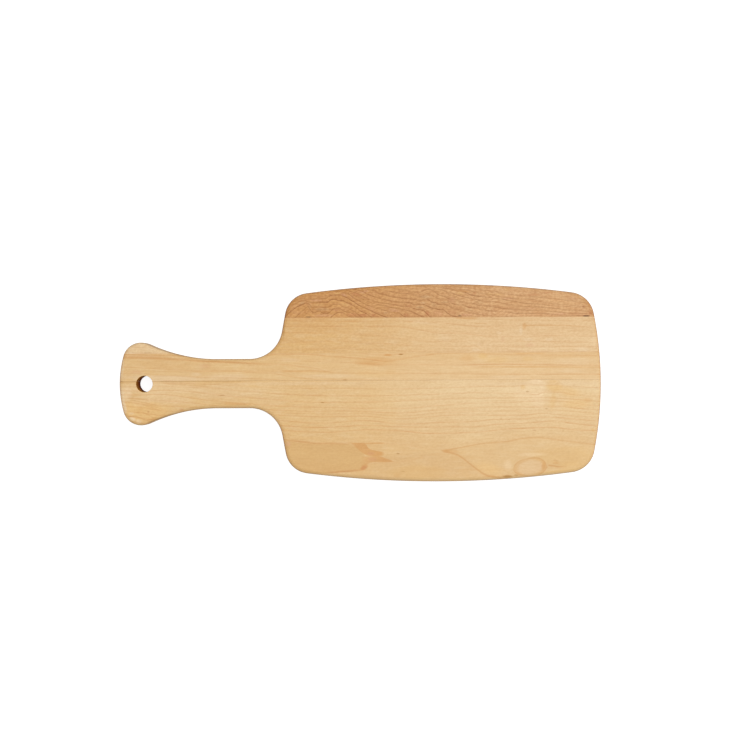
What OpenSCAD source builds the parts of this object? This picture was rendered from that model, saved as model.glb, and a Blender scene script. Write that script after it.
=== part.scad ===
// Paddle serving board: maple staves glued edge to edge, sawn to a bowed blade with a flared
// handle, rounded over all round both faces, and drilled at the handle for hanging.
// The board lies flat, its handle towards -X and its far end towards +X.

/* [Blade] */
// Thickness of the board
board_t = 19.05; // [12:0.05:32]
// Width of the blade at the crests of its two side bows
blade_w = 152.4; // [125:0.1:185]
// Length of the blade, from the root of the shoulders to the far end
blade_l = 250; // [205:1:320]
// Radius of the long bow along each side
side_bow_r = 790; // [600:5:1500]
// Radius of the bow across the far end
end_bow_r = 274; // [200:1:600]
// Radius of the two corners at the far end
end_corner_r = 20; // [8:0.5:28]
// Radius of the two shoulder corners
shoulder_corner_r = 19; // [8:0.5:25]
// Lean of the two shoulder edges out of square, in degrees
shoulder_lean = 10.5; // [2:0.5:16]
// Radius of the inside curve from each shoulder to the neck
shoulder_fillet_r = 25.4; // [12:0.1:31]
// Radius of the round-over along the edges of both faces
edge_r = 3.2; // [1:0.1:4.5]

/* [Handle] */
// Length of the handle, from its end to the root of the shoulders
handle_l = 121.5; // [100:0.5:170]
// Width of the straight neck
neck_w = 38.1; // [31:0.1:46]
// Radius of the hollow flare from the neck out to the handle's end
flare_r = 127; // [90:1:160]
// Width across the flared end
handle_end_w = 64; // [52:0.5:77]
// Radius of the two lobes of the flared end
lobe_r = 14; // [10:0.5:17]
// Radius of the bow across the handle's end
handle_bow_r = 82; // [60:1:150]
// Diameter of the hanging hole
hole_d = 12.7; // [8:0.1:18]
// Distance from the handle's end to the middle of the hole
hole_inset = 19.5; // [16:0.5:30]
// Radius that eases the two rims of the hole
rim_r = 0.3; // [0.2:0.1:1.5]

/* [Staves] */
// Distance of the joint along the middle from the board's centre line
middle_joint_y = 2.16; // [0:0.01:6]
// Width of the stave above that joint
centre_stave_w = 20.9; // [17:0.1:25]
// Width of the stave next to it. The heartwood stave and the wide stave take what is left.
upper_stave_w = 27.1; // [20:0.1:33]
// Thickness of each glue film
glue_film_t = 0.12; // [0.05:0.01:0.3]

/* [Hidden] */
heartwood_colour = "#c9986c";
maple_colour = "#e6c894";
glue_colour = "#b58a55";

// Facets of the drilled hole, and steps round each kind of curve
$fn = 96;
side_bow_steps = 12;
end_bow_steps = 6;
corner_steps = 8;
fillet_steps = 10;
flare_steps = 9;
lobe_steps = 11;
round_over_steps = 3;
rim_steps = 4;
// How far a cutter runs past what it cuts
overrun = 5;

board_l = handle_l + blade_l;
half_l = board_l / 2;
root_x = handle_l - half_l;
hole_x = hole_inset - half_l;

// Joint planes, counted up from the joint along the middle
centre_y = middle_joint_y;
wide_top_y = centre_y - glue_film_t;
centre_top_y = centre_y + centre_stave_w;
upper_y = centre_top_y + glue_film_t;
upper_top_y = upper_y + upper_stave_w;
heartwood_y = upper_top_y + glue_film_t;

function polar(r, a) = r * [cos(a), sin(a)];
function bearing(from, to) = atan2(to.y - from.y, to.x - from.x);

// Where two circles meet, on the left (side = 1) or right (side = -1) of the line from c1 to c2
function circles_meet(c1, r1, c2, r2, side) =
    let (d = norm(c2 - c1),
         u = (c2 - c1) / d,
         along = (r1 * r1 - r2 * r2 + d * d) / (2 * d),
         off = sqrt(r1 * r1 - along * along))
    c1 + along * u + side * off * [-u.y, u.x];

// Where a line from p along the unit vector u leaves a circle
function line_leaves(p, u, c, r) =
    let (w = p - c, b = w * u)
    p + (sqrt(b * b - w * w + r * r) - b) * u;

// Centres of the arcs of the upper half of the outline. Every arc touches its neighbours.
end_bow_c = [half_l - end_bow_r, 0];
side_bow_c = [half_l - blade_l / 2, blade_w / 2 - side_bow_r];
end_corner_c = circles_meet(side_bow_c, side_bow_r - end_corner_r,
                            end_bow_c, end_bow_r - end_corner_r, -1);
shoulder_up = [sin(shoulder_lean), cos(shoulder_lean)];
shoulder_out = [-cos(shoulder_lean), sin(shoulder_lean)];
shoulder_root = [root_x, neck_w / 2];
shoulder_corner_c = line_leaves(shoulder_root - shoulder_corner_r * shoulder_out, shoulder_up,
                                side_bow_c, side_bow_r - shoulder_corner_r);
fillet_c = shoulder_root + [(shoulder_fillet_r - shoulder_fillet_r * shoulder_out.y) / shoulder_out.x,
                            shoulder_fillet_r];
handle_bow_c = [handle_bow_r - half_l, 0];
lobe_y = handle_end_w / 2 - lobe_r;
lobe_c = [handle_bow_c.x - sqrt(pow(handle_bow_r - lobe_r, 2) - lobe_y * lobe_y), lobe_y];
flare_y = neck_w / 2 + flare_r;
flare_c = [lobe_c.x + sqrt(pow(flare_r + lobe_r, 2) - pow(flare_y - lobe_y, 2)), flare_y];

// Bearings at which the arcs hand over to each other
end_bow_a = bearing(end_bow_c, end_corner_c);
side_bow_start_a = bearing(side_bow_c, end_corner_c);
side_bow_end_a = bearing(side_bow_c, shoulder_corner_c);
shoulder_a = 180 - shoulder_lean;
neck_a = -90;
flare_a = bearing(flare_c, lobe_c);
lobe_start_a = flare_a + 180;
lobe_end_a = bearing(handle_bow_c, lobe_c);
// Both end bows stop half a step short of the middle, so that one chord crosses it
end_bow_start_a = end_bow_a / (2 * end_bow_steps + 1);
handle_bow_end_a = 180 - (180 - lobe_end_a) / (2 * end_bow_steps + 1);

// Points of one arc at a given inset from the outline. bulge is 1 on a rounded arc and -1 on
// a hollow one, and the last point is left to the next arc unless keep is 1.
function arc(c, r, a0, a1, steps, inset, bulge = 1, keep = 0) =
    [for (i = [0 : steps - 1 + keep]) c + polar(r - bulge * inset, a0 + (a1 - a0) * i / steps)];

// Upper edge of the blade, from its far end to the neck
function blade_edge(inset) = concat(
    arc(end_bow_c, end_bow_r, end_bow_start_a, end_bow_a, end_bow_steps, inset),
    arc(end_corner_c, end_corner_r, end_bow_a, side_bow_start_a, corner_steps, inset),
    arc(side_bow_c, side_bow_r, side_bow_start_a, side_bow_end_a, side_bow_steps, inset),
    arc(shoulder_corner_c, shoulder_corner_r, side_bow_end_a, shoulder_a, corner_steps, inset, 1, 1),
    arc(fillet_c, shoulder_fillet_r, -shoulder_lean, neck_a, fillet_steps, inset, -1, 1));

// Upper edge of the handle, from the neck to the handle's end
function handle_edge(inset) = concat(
    arc(flare_c, flare_r, neck_a, flare_a, flare_steps, inset, -1),
    arc(lobe_c, lobe_r, lobe_start_a, lobe_end_a, lobe_steps, inset),
    arc(handle_bow_c, handle_bow_r, lobe_end_a, handle_bow_end_a, end_bow_steps, inset, 1, 1));

// Height and inset of each ring of the round-over, from the bottom face to the top one
bottom_rings = [for (i = [0 : round_over_steps]) let (a = 90 * i / round_over_steps)
    [edge_r * (1 - sin(a)), edge_r * (1 - cos(a))]];
top_rings = [for (i = [round_over_steps : -1 : 0]) [bottom_rings[i].x, board_t - bottom_rings[i].y]];
rings = concat(bottom_rings, top_rings);

// Closed solid that stacks one outline to a ring. Each outline is an upper edge with its
// mirror image below, and each face is a row of strips across the board.
module blank(edges) {
    m = len(edges[0]);
    n = 2 * m;
    top_start = (len(rings) - 1) * n;
    points = [for (k = [0 : len(rings) - 1], i = [0 : n - 1])
        let (p = edges[k][min(i, n - 1 - i)]) [p.x, i < m ? p.y : -p.y, rings[k].y]];
    sides = [for (k = [0 : len(rings) - 2], i = [0 : n - 1]) let (j = (i + 1) % n)
        [k * n + i, (k + 1) * n + i, (k + 1) * n + j, k * n + j]];
    bottom = [for (i = [0 : m - 2]) [i, i + 1, n - 2 - i, n - 1 - i]];
    top = [for (i = [0 : m - 2]) [for (v = [n - 1 - i, n - 2 - i, i + 1, i]) top_start + v]];
    polyhedron(points, concat(bottom, sides, top), convexity = 6);
}

module paddle_blank() {
    blank([for (ring = rings) concat(blade_edge(ring.x), handle_edge(ring.x))]);
}

module blade_blank() {
    blank([for (ring = rings) blade_edge(ring.x)]);
}

module handle_blank() {
    blank([for (ring = rings) handle_edge(ring.x)]);
}

// Cutter that eases the upper rim of a hole drilled down from z = 0
module rim_cutter() {
    eased = [for (i = [0 : rim_steps]) let (a = 90 * i / rim_steps)
        [hole_d / 2 + rim_r * (1 - cos(a)), rim_r * (sin(a) - 1)]];
    rotate_extrude()
        polygon(concat([[0, -rim_r]], eased, [[hole_d / 2 + rim_r, overrun], [0, overrun]]));
}

module hanging_hole() {
    translate([hole_x, 0, -overrun]) cylinder(h = board_t + 2 * overrun, d = hole_d);
    translate([hole_x, 0, board_t]) rim_cutter();
    translate([hole_x, 0, 0]) mirror([0, 0, 1]) rim_cutter();
}

// What lies of its children between two joint planes, drilled for hanging
module stave_between(low_y, high_y) {
    difference() {
        intersection() {
            children();
            translate([-half_l - overrun, low_y, -overrun])
                cube([board_l + 2 * overrun, high_y - low_y, board_t + 2 * overrun]);
        }
        hanging_hole();
    }
}

module heartwood_stave() {
    color(heartwood_colour) stave_between(heartwood_y, blade_w / 2 + overrun) blade_blank();
}

module upper_stave() {
    color(maple_colour) stave_between(upper_y, upper_top_y) blade_blank();
}

module centre_stave() {
    color(maple_colour) stave_between(centre_y, centre_top_y) paddle_blank();
}

module wide_stave() {
    color(maple_colour) stave_between(-blade_w / 2 - overrun, wide_top_y) paddle_blank();
}

// The end of the upper stave, left on the handle's upper lobe where the neck was sawn out
module handle_ear() {
    color(maple_colour) stave_between(upper_y, upper_top_y) handle_blank();
}

module heartwood_glue_film() {
    color(glue_colour) stave_between(upper_top_y, heartwood_y) blade_blank();
}

module upper_glue_film() {
    color(glue_colour) stave_between(centre_top_y, upper_y) blade_blank();
}

module centre_glue_film() {
    color(glue_colour) stave_between(wide_top_y, centre_y) paddle_blank();
}

module ear_glue_film() {
    color(glue_colour) stave_between(centre_top_y, upper_y) handle_blank();
}

heartwood_stave();
upper_stave();
centre_stave();
wide_stave();
handle_ear();
heartwood_glue_film();
upper_glue_film();
centre_glue_film();
ear_glue_film();
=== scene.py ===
import bmesh
import bpy
import math
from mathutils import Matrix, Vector


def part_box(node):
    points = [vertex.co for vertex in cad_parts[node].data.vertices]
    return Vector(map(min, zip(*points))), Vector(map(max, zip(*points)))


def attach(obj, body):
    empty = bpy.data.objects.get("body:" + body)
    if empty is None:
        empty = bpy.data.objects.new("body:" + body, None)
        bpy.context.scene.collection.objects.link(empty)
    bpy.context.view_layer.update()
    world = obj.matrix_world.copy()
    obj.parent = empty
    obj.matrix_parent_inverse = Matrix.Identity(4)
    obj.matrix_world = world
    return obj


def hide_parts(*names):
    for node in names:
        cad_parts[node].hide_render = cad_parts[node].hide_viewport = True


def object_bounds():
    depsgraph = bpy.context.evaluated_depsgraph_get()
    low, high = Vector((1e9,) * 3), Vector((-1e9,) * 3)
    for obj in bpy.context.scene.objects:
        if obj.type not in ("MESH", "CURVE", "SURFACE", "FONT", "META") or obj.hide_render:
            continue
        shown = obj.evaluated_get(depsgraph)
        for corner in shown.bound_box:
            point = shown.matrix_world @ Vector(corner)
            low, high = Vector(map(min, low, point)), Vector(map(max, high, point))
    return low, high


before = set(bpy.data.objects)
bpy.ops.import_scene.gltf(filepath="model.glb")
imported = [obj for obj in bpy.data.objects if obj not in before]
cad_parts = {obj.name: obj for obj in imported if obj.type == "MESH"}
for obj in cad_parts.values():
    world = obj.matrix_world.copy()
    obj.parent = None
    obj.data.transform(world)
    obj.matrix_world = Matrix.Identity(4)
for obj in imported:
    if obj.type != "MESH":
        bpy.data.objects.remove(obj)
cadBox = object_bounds()
print("frame loaded")

mm = 0.001


# Colour written as red, green and blue from 0 to 255, with the sRGB curve undone for a shader.
# Values over 255 are for colours that multiply and lighten.
def colour(red, green, blue):
    shares = [value / 255 for value in (red, green, blue)]
    return tuple(s / 12.92 if s < 0.04045 else ((s + 0.055) / 1.055) ** 2.4 for s in shares) + (1.0,)


# Camera

camera = {
    "lens": 62.7,
    "sensorWidth": 36.0,
    "framePixels": 750,
    "place": (11.38 * mm, 6.17 * mm, 1024.9 * mm),
    "roll": math.radians(-0.245),
}


def addCamera():
    data = bpy.data.cameras.new("photoCamera")
    data.lens = camera["lens"]
    data.sensor_width = camera["sensorWidth"]
    eye = bpy.data.objects.new("photoCamera", data)
    eye.location = camera["place"]
    eye.rotation_euler = (0, 0, camera["roll"])
    bpy.context.scene.collection.objects.link(eye)
    bpy.context.scene.camera = eye


addCamera()
print("camera placed")


# Board: the outline of part.scad, drawn finer, and cut into staves by the same joint planes

board = {
    "bladeLength": 250 * mm,
    "sideBow": 790 * mm,
    "endBow": 274 * mm,
    "endCorner": 20 * mm,
    "shoulderCorner": 19 * mm,
    "shoulderLean": math.radians(10.5),
    "shoulderFillet": 25.4 * mm,
    "roundOver": 3.2 * mm,
    "handleLength": 121.5 * mm,
    "neckWidth": 38.1 * mm,
    "flare": 127 * mm,
    "handleEndWidth": 64 * mm,
    "lobe": 14 * mm,
    "handleBow": 82 * mm,
    "roundOverSteps": 9,
    "bowSteps": 16,
    "cornerSteps": 14,
    "sideSteps": 56,
    "filletSteps": 20,
    "flareSteps": 22,
    "lobeSteps": 24,
    "leastStep": 0.05 * mm,
    "cutSlack": 0.001 * mm,
    "sharpAngle": math.radians(32),
    "flatFaceWeight": 100,
}
board["thickness"] = cadBox[1].z - cadBox[0].z
board["width"] = cadBox[1].y - cadBox[0].y
board["halfLength"] = (board["bladeLength"] + board["handleLength"]) / 2


def bearing(start, end):
    return math.atan2(end.y - start.y, end.x - start.x)


def onCircle(centre, radius, angle):
    return centre + radius * Vector((math.cos(angle), math.sin(angle)))


# Where two circles meet, on the right of the line from the first centre to the second
def circlesMeet(first, firstRadius, second, secondRadius):
    gap = (second - first).length
    toward = (second - first) / gap
    along = (firstRadius ** 2 - secondRadius ** 2 + gap ** 2) / (2 * gap)
    off = math.sqrt(firstRadius ** 2 - along ** 2)
    return first + along * toward + off * Vector((toward.y, -toward.x))


# Where a line from a point along a unit vector leaves a circle
def lineLeaves(point, toward, centre, radius):
    back = (point - centre).dot(toward)
    reach = math.sqrt(back ** 2 - (point - centre).length_squared + radius ** 2)
    return point + (reach - back) * toward


# Arcs of the upper half of the outline, from the middle of the far end to the middle of the
# handle's end: centre, radius, first and last angle, steps, and 1 for rounded or -1 for hollow
def outlineArcs():
    half = board["halfLength"]
    rootX = board["handleLength"] - half
    halfNeck = board["neckWidth"] / 2
    lean = board["shoulderLean"]
    endBow = Vector((half - board["endBow"], 0))
    sideBow = Vector((half - board["bladeLength"] / 2, board["width"] / 2 - board["sideBow"]))
    endCorner = circlesMeet(sideBow, board["sideBow"] - board["endCorner"],
                            endBow, board["endBow"] - board["endCorner"])
    up = Vector((math.sin(lean), math.cos(lean)))
    out = Vector((-math.cos(lean), math.sin(lean)))
    root = Vector((rootX, halfNeck))
    shoulder = lineLeaves(root - board["shoulderCorner"] * out, up,
                          sideBow, board["sideBow"] - board["shoulderCorner"])
    filletR = board["shoulderFillet"]
    fillet = root + Vector(((filletR - filletR * out.y) / out.x, filletR))
    handleBow = Vector((board["handleBow"] - half, 0))
    lobeY = board["handleEndWidth"] / 2 - board["lobe"]
    lobeReach = board["handleBow"] - board["lobe"]
    lobe = Vector((handleBow.x - math.sqrt(lobeReach ** 2 - lobeY ** 2), lobeY))
    flareY = halfNeck + board["flare"]
    flareReach = board["flare"] + board["lobe"]
    flare = Vector((lobe.x + math.sqrt(flareReach ** 2 - (flareY - lobeY) ** 2), flareY))
    endAngle = bearing(endBow, endCorner)
    sideStart = bearing(sideBow, endCorner)
    sideEnd = bearing(sideBow, shoulder)
    flareEnd = bearing(flare, lobe) + 2 * math.pi
    lobeEnd = bearing(handleBow, lobe)
    down = 1.5 * math.pi
    return [
        (endBow, board["endBow"], 0, endAngle, board["bowSteps"], 1),
        (endCorner, board["endCorner"], endAngle, sideStart, board["cornerSteps"], 1),
        (sideBow, board["sideBow"], sideStart, sideEnd, board["sideSteps"], 1),
        (shoulder, board["shoulderCorner"], sideEnd, math.pi - lean, board["cornerSteps"], 1),
        (fillet, filletR, 2 * math.pi - lean, down, board["filletSteps"], -1),
        (flare, board["flare"], down, flareEnd, board["flareSteps"], -1),
        (lobe, board["lobe"], flareEnd - math.pi, lobeEnd, board["lobeSteps"], 1),
        (handleBow, board["handleBow"], lobeEnd, math.pi, board["bowSteps"], 1),
    ]


# Upper half of the outline at an inset. Its two ends lie just off the middle line, so that
# the strip between them and their mirror images has a width.
def upperEdge(arcs, inset):
    points = []
    for centre, radius, first, last, steps, bulge in arcs:
        for step in range(steps + 1):
            angle = first + (last - first) * step / steps
            point = onCircle(centre, radius - bulge * inset, angle)
            if not points or (point - points[-1]).length > board["leastStep"]:
                points.append(point)
    points[0].y = points[1].y / 2
    points[-1].y = points[-2].y / 2
    return points


# Inset and height of each ring of the two round-overs, from the bottom face to the top one
def roundOverRings():
    radius = board["roundOver"]
    steps = board["roundOverSteps"]
    angles = [math.pi / 2 * step / steps for step in range(steps + 1)]
    low = [(radius * (1 - math.sin(a)), radius * (1 - math.cos(a))) for a in angles]
    return low + [(inset, board["thickness"] - height) for inset, height in reversed(low)]


# The whole board as one closed shell, before it is cut into staves
def boardShell():
    shell = bmesh.new()
    arcs = outlineArcs()
    rings = []
    for inset, height in roundOverRings():
        upper = upperEdge(arcs, inset)
        loop = upper + [Vector((p.x, -p.y)) for p in reversed(upper)]
        rings.append([shell.verts.new((p.x, p.y, height)) for p in loop])
    joinRings(shell, rings)
    count = len(rings[0])
    for i in range(count // 2 - 1):
        strip = (i, i + 1, count - 2 - i, count - 1 - i)
        shell.faces.new([rings[-1][k] for k in strip])
        shell.faces.new([rings[0][k] for k in reversed(strip)])
    return shell


def joinRings(shell, rings):
    for low, high in zip(rings, rings[1:]):
        for i in range(len(low)):
            j = (i + 1) % len(low)
            shell.faces.new((low[i], low[j], high[j], high[i]))


# What lies of the board between two joint planes. A side of 1 keeps only the blade's end of
# it, and -1 only the handle's. The sides of the board itself are no joints, and aren't cut.
def cutStave(lowY, highY, side):
    shell = boardShell()
    for planeY, toward in ((lowY, -1), (highY, 1)):
        if abs(planeY) < board["width"] / 2 - mm:
            bmesh.ops.bisect_plane(shell, geom=shell.verts[:] + shell.edges[:] + shell.faces[:],
                                   plane_co=(0, planeY, 0), plane_no=(0, toward, 0),
                                   clear_outer=True, dist=board["cutSlack"])
    if side:
        neckX = board["handleLength"] - board["halfLength"] - board["shoulderFillet"]
        other = [v for v in shell.verts if (v.co.x - neckX) * side < 0]
        bmesh.ops.delete(shell, geom=other, context="VERTS")
    openEdges = [edge for edge in shell.edges if edge.is_boundary]
    bmesh.ops.holes_fill(shell, edges=openEdges, sides=0)
    bmesh.ops.recalc_face_normals(shell, faces=shell.faces[:])
    return shell


# Hanging hole: one drilled cutter with both rims eased. On the wall, the drilled colour starts
# at a share of the rim, and painted shade darkens it between two shares of the thickness.

hole = {
    "diameter": 12.7 * mm,
    "inset": 19.5 * mm,
    "rim": 0.3 * mm,
    "rimSteps": 6,
    "facets": 144,
    "overrun": 5 * mm,
    "wallFrom": 0.6,
    "wallSlack": 0.02 * mm,
    "darkening": (0.6, 0.38),
}


def holeCutter():
    radius = hole["diameter"] / 2
    rim = hole["rim"]
    top = board["thickness"]
    upper = []
    for step in range(hole["rimSteps"] + 1):
        angle = math.pi / 2 * step / hole["rimSteps"]
        upper.append((radius + rim * (1 - math.cos(angle)), top - rim + rim * math.sin(angle)))
    upper.append((radius + rim, top + hole["overrun"]))
    profile = [(r, top - z) for r, z in reversed(upper)] + upper
    cutter = bmesh.new()
    centreX = hole["inset"] - board["halfLength"]
    turns = [2 * math.pi * step / hole["facets"] for step in range(hole["facets"])]
    rings = [[cutter.verts.new((centreX + r * math.cos(a), r * math.sin(a), z)) for a in turns]
             for r, z in profile]
    joinRings(cutter, rings)
    cutter.faces.new(rings[-1])
    cutter.faces.new(list(reversed(rings[0])))
    bmesh.ops.recalc_face_normals(cutter, faces=cutter.faces[:])
    return addObject("holeCutter", cutter)


def addObject(name, shell):
    mesh = bpy.data.meshes.new(name)
    shell.to_mesh(mesh)
    shell.free()
    piece = bpy.data.objects.new(name, mesh)
    bpy.context.scene.collection.objects.link(piece)
    return piece


# The piece's mesh with its modifiers worked in
def applyModifiers(piece):
    bpy.context.view_layer.update()
    seen = piece.evaluated_get(bpy.context.evaluated_depsgraph_get())
    mesh = bpy.data.meshes.new_from_object(seen)
    mesh.name = piece.name
    piece.modifiers.clear()
    piece.data = mesh


def smoothShading(piece):
    shell = bmesh.new()
    shell.from_mesh(piece.data)
    for face in shell.faces:
        face.smooth = True
    for edge in shell.edges:
        edge.smooth = edge.is_manifold and edge.calc_face_angle() < board["sharpAngle"]
    shell.to_mesh(piece.data)
    shell.free()
    weighted = piece.modifiers.new("flatFacesLead", "WEIGHTED_NORMAL")
    weighted.keep_sharp = True
    weighted.weight = board["flatFaceWeight"]
    applyModifiers(piece)


def addStave(name, node, finish, cutter, planes, side):
    piece = addObject(name, cutStave(*planes, side))
    if cutter:
        drill = piece.modifiers.new("hangingHole", "BOOLEAN")
        drill.operation = "DIFFERENCE"
        drill.solver = "EXACT"
        drill.object = cutter
        applyModifiers(piece)
    smoothShading(piece)
    piece.data.materials.clear()
    piece.data.materials.append(finish)
    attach(piece, "root")
    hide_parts(node)


# Materials: small helpers first

def addNode(tree, kind, inputs=None, **settings):
    node = tree.nodes.new(kind)
    for name, value in settings.items():
        setattr(node, name, value)
    for key, value in (inputs or {}).items():
        if isinstance(value, bpy.types.NodeSocket):
            tree.links.new(value, node.inputs[key])
        else:
            node.inputs[key].default_value = value
    return node


def calc(tree, operation, first, second=0.0, third=0.0, clamp=False):
    return addNode(tree, "ShaderNodeMath", {0: first, 1: second, 2: third},
                   operation=operation, use_clamp=clamp).outputs[0]


# Sockets 6 and 7 and output 2 are the Mix node's colours
def mixColour(tree, share, under, over, way="MIX"):
    return addNode(tree, "ShaderNodeMix", {0: share, 6: under, 7: over},
                   data_type="RGBA", blend_type=way).outputs[2]


# Smooth step of a value from one end of a range to the other
def ramp(tree, value, start, end, low=0.0, high=1.0):
    return addNode(tree, "ShaderNodeMapRange", {"Value": value, "From Min": start, "From Max": end,
                                                "To Min": low, "To Max": high},
                   interpolation_type="SMOOTHSTEP").outputs["Result"]


def addCurve(tree, value, points, handle="AUTO"):
    node = addNode(tree, "ShaderNodeFloatCurve", {"Value": value})
    node.mapping.use_clip = False
    node.mapping.extend = "HORIZONTAL"
    line = node.mapping.curves[0]
    while len(line.points) < len(points):
        line.points.new(0, 0)
    for point, place in zip(line.points, points):
        point.location = place
        point.handle_type = handle
    node.mapping.update()
    return node.outputs["Value"]


def noise(tree, vector, detail, roughness=0.5):
    return addNode(tree, "ShaderNodeTexNoise", {"Vector": vector, "Scale": 1.0, "Detail": detail,
                                                "Roughness": roughness}).outputs["Fac"]


def combine(tree, x, y, z):
    return addNode(tree, "ShaderNodeCombineXYZ", {0: x, 1: y, 2: z}).outputs[0]


# Where a noise is looked up: each part of a place scaled, and a seed added along the grain
def scaledSpot(tree, place, scales, seed=0.0):
    along, across, down = place
    return combine(tree, calc(tree, "MULTIPLY_ADD", along, scales[0], seed),
                   calc(tree, "MULTIPLY", across, scales[1]), calc(tree, "MULTIPLY", down, scales[2]))


# Node group with named inputs and their values, tuples for vectors, and named numbers out
def newGroup(name, inputs, outputs):
    group = bpy.data.node_groups.new(name, "ShaderNodeTree")
    for label, value in inputs.items():
        kind = "NodeSocketVector" if isinstance(value, tuple) else "NodeSocketFloat"
        group.interface.new_socket(label, in_out="INPUT", socket_type=kind).default_value = value
    for label in outputs:
        group.interface.new_socket(label, in_out="OUTPUT", socket_type="NodeSocketFloat")
    return group, group.nodes.new("NodeGroupInput").outputs, group.nodes.new("NodeGroupOutput").inputs


def useGroup(tree, group, inputs):
    return addNode(tree, "ShaderNodeGroup", inputs, node_tree=groups[group]).outputs


def send(group, value, socket):
    group.links.new(value, socket)


# Point of the upper face, in millimetres, that the photograph shows at a pixel, or on its
# middle row
def fromPhoto(pixelX, pixelY=camera["framePixels"] / 2):
    height = camera["place"][2] - board["thickness"]
    reach = height * camera["sensorWidth"] / camera["lens"] / camera["framePixels"]
    across = (pixelX - camera["framePixels"] / 2) * reach
    up = (camera["framePixels"] / 2 - pixelY) * reach
    turn = camera["roll"]
    x = camera["place"][0] + across * math.cos(turn) - up * math.sin(turn)
    y = camera["place"][1] + across * math.sin(turn) + up * math.cos(turn)
    return x / mm, y / mm


pixelMm = fromPhoto(1, 0)[0] - fromPhoto(0, 0)[0]


# Sway of the growth rings, and fine structure of the wood. Scales are cycles per millimetre
# along the grain, across it and downwards, and for streaks per ring across. Each noise shows
# between the two ends of its range. Flecks lie in the middle of cells: size is where a fleck
# fades out, and choice is which cells have one, by a random number from 0 to 1.
sway = {"scales": (0.06, 0.3, 0.12), "detail": 3.0}

grain = {
    "Streaks": {"scales": (0.026, 3.3, 0.1), "detail": 5.0, "roughness": 0.68, "range": (0.32, 0.7)},
    "Fibres": {"scales": (0.08, 1.1, 1.1), "detail": 5.0, "roughness": 0.72, "range": (0.35, 0.68)},
    "Pores": {"scales": (0.45, 0.75, 0.6), "detail": 3.0, "roughness": 0.62, "range": (0.35, 0.65)},
    "Mottle": {"scales": (0.1, 0.34, 0.2), "detail": 4.0, "roughness": 0.6, "range": (0.42, 0.68)},
    "Clouds": {"scales": (0.03, 0.11, 0.08), "detail": 3.0, "roughness": 0.55, "range": (0.3, 0.7)},
    "Flecks": {"scales": (0.55, 2.6, 2.6), "size": (0.05, 0.24), "choice": (0.55, 0.95),
               "range": (0.0, 1.0)},
}

# Dark line of a growth ring, from below it (0) to above it (1), how uneven it is along its
# length, and the tone of the wood between two lines, from the upper one (0) to the lower (1)
ring = {
    "profile": [(0.32, 0), (0.4, 0.22), (0.46, 0.85), (0.5, 1), (0.57, 0.66), (0.68, 0.2), (0.86, 0)],
    "profileScale": 0.25,
    "profileMiddle": 0.5,
    "unevenScale": 0.07,
    "unevenDetail": 4.0,
    "unevenRoughness": 0.6,
    "unevenRange": (0.28, 0.7),
    "unevenInk": (0.4, 1.3),
    "tones": [(0, 0.8), (0.12, 0.1), (0.35, 0.0), (0.7, 0.4), (1, 0.8)],
}

# Where a face turns to end grain or to an edge: ends of a ramp over a part of its normal, the
# part along the board for Tint and End, and the upright part for Edge. Tint also carries a
# painted highlight on the pale staves, and Edge carries painted shade on the steep walls.
faceTurns = {"Tint": (0.25, 0.8), "End": (0.6, 0.97), "Edge": (0.8, 0.3)}


# Where a point lies in the wood, in millimetres: along the grain, across it and below the
# upper face. The growth rings lean through the thickness and waver a little.
def woodFlowGroup():
    group, given, out = newGroup("woodFlow", {"Lean": 0.3, "Waver": 0.3}, ["Along", "Across", "Depth"])
    place = addNode(group, "ShaderNodeTexCoord").outputs["Object"]
    scaled = addNode(group, "ShaderNodeVectorMath", {0: place, 3: 1 / mm}, operation="SCALE").outputs[0]
    parts = addNode(group, "ShaderNodeSeparateXYZ", {0: scaled}).outputs
    depth = calc(group, "SUBTRACT", board["thickness"] / mm, parts["Z"])
    spot = scaledSpot(group, (parts["X"], parts["Y"], parts["Z"]), sway["scales"])
    off = calc(group, "SUBTRACT", noise(group, spot, sway["detail"]), 0.5)
    leaned = calc(group, "MULTIPLY_ADD", depth, given["Lean"], parts["Y"])
    across = calc(group, "MULTIPLY_ADD", off, given["Waver"], leaned)
    send(group, parts["X"], out["Along"])
    send(group, across, out["Across"])
    send(group, depth, out["Depth"])
    return group


# Share of the way from one ring line down to the next
def ringStepGroup():
    group, given, out = newGroup("ringStep", {"Across": 0.0, "Upper": 1.0, "Lower": 0.0}, ["Share"])
    gone = calc(group, "SUBTRACT", given["Upper"], given["Across"])
    width = calc(group, "SUBTRACT", given["Upper"], given["Lower"])
    send(group, calc(group, "DIVIDE", gone, width, clamp=True), out["Share"])
    return group


# Dark line of one growth ring: it fades in from above, stops sharply below, and is uneven
# along its length
def ringLineGroup():
    group, given, out = newGroup("ringLine", {"Across": 0.0, "Route": 0.0, "Along": 0.0, "Seed": 0.0,
                                              "Width": 1.0, "Ink": 0.5}, ["Mask"])
    off = calc(group, "DIVIDE", calc(group, "SUBTRACT", given["Across"], given["Route"]), given["Width"])
    place = calc(group, "MULTIPLY_ADD", off, ring["profileScale"], ring["profileMiddle"])
    shape = addCurve(group, place, ring["profile"])
    spot = combine(group, calc(group, "MULTIPLY", given["Along"], ring["unevenScale"]), given["Seed"], 0.0)
    patchy = noise(group, spot, ring["unevenDetail"], ring["unevenRoughness"])
    uneven = ramp(group, patchy, *ring["unevenRange"], *ring["unevenInk"])
    send(group, calc(group, "MULTIPLY", calc(group, "MULTIPLY", shape, uneven), given["Ink"]), out["Mask"])
    return group


# How dark the wood between two ring lines is, from the share of the way to the lower one
def ringToneGroup():
    group, given, out = newGroup("ringTone", {"Count": 0.0}, ["Tone"])
    send(group, addCurve(group, calc(group, "FRACT", given["Count"]), ring["tones"]), out["Tone"])
    return group


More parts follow.
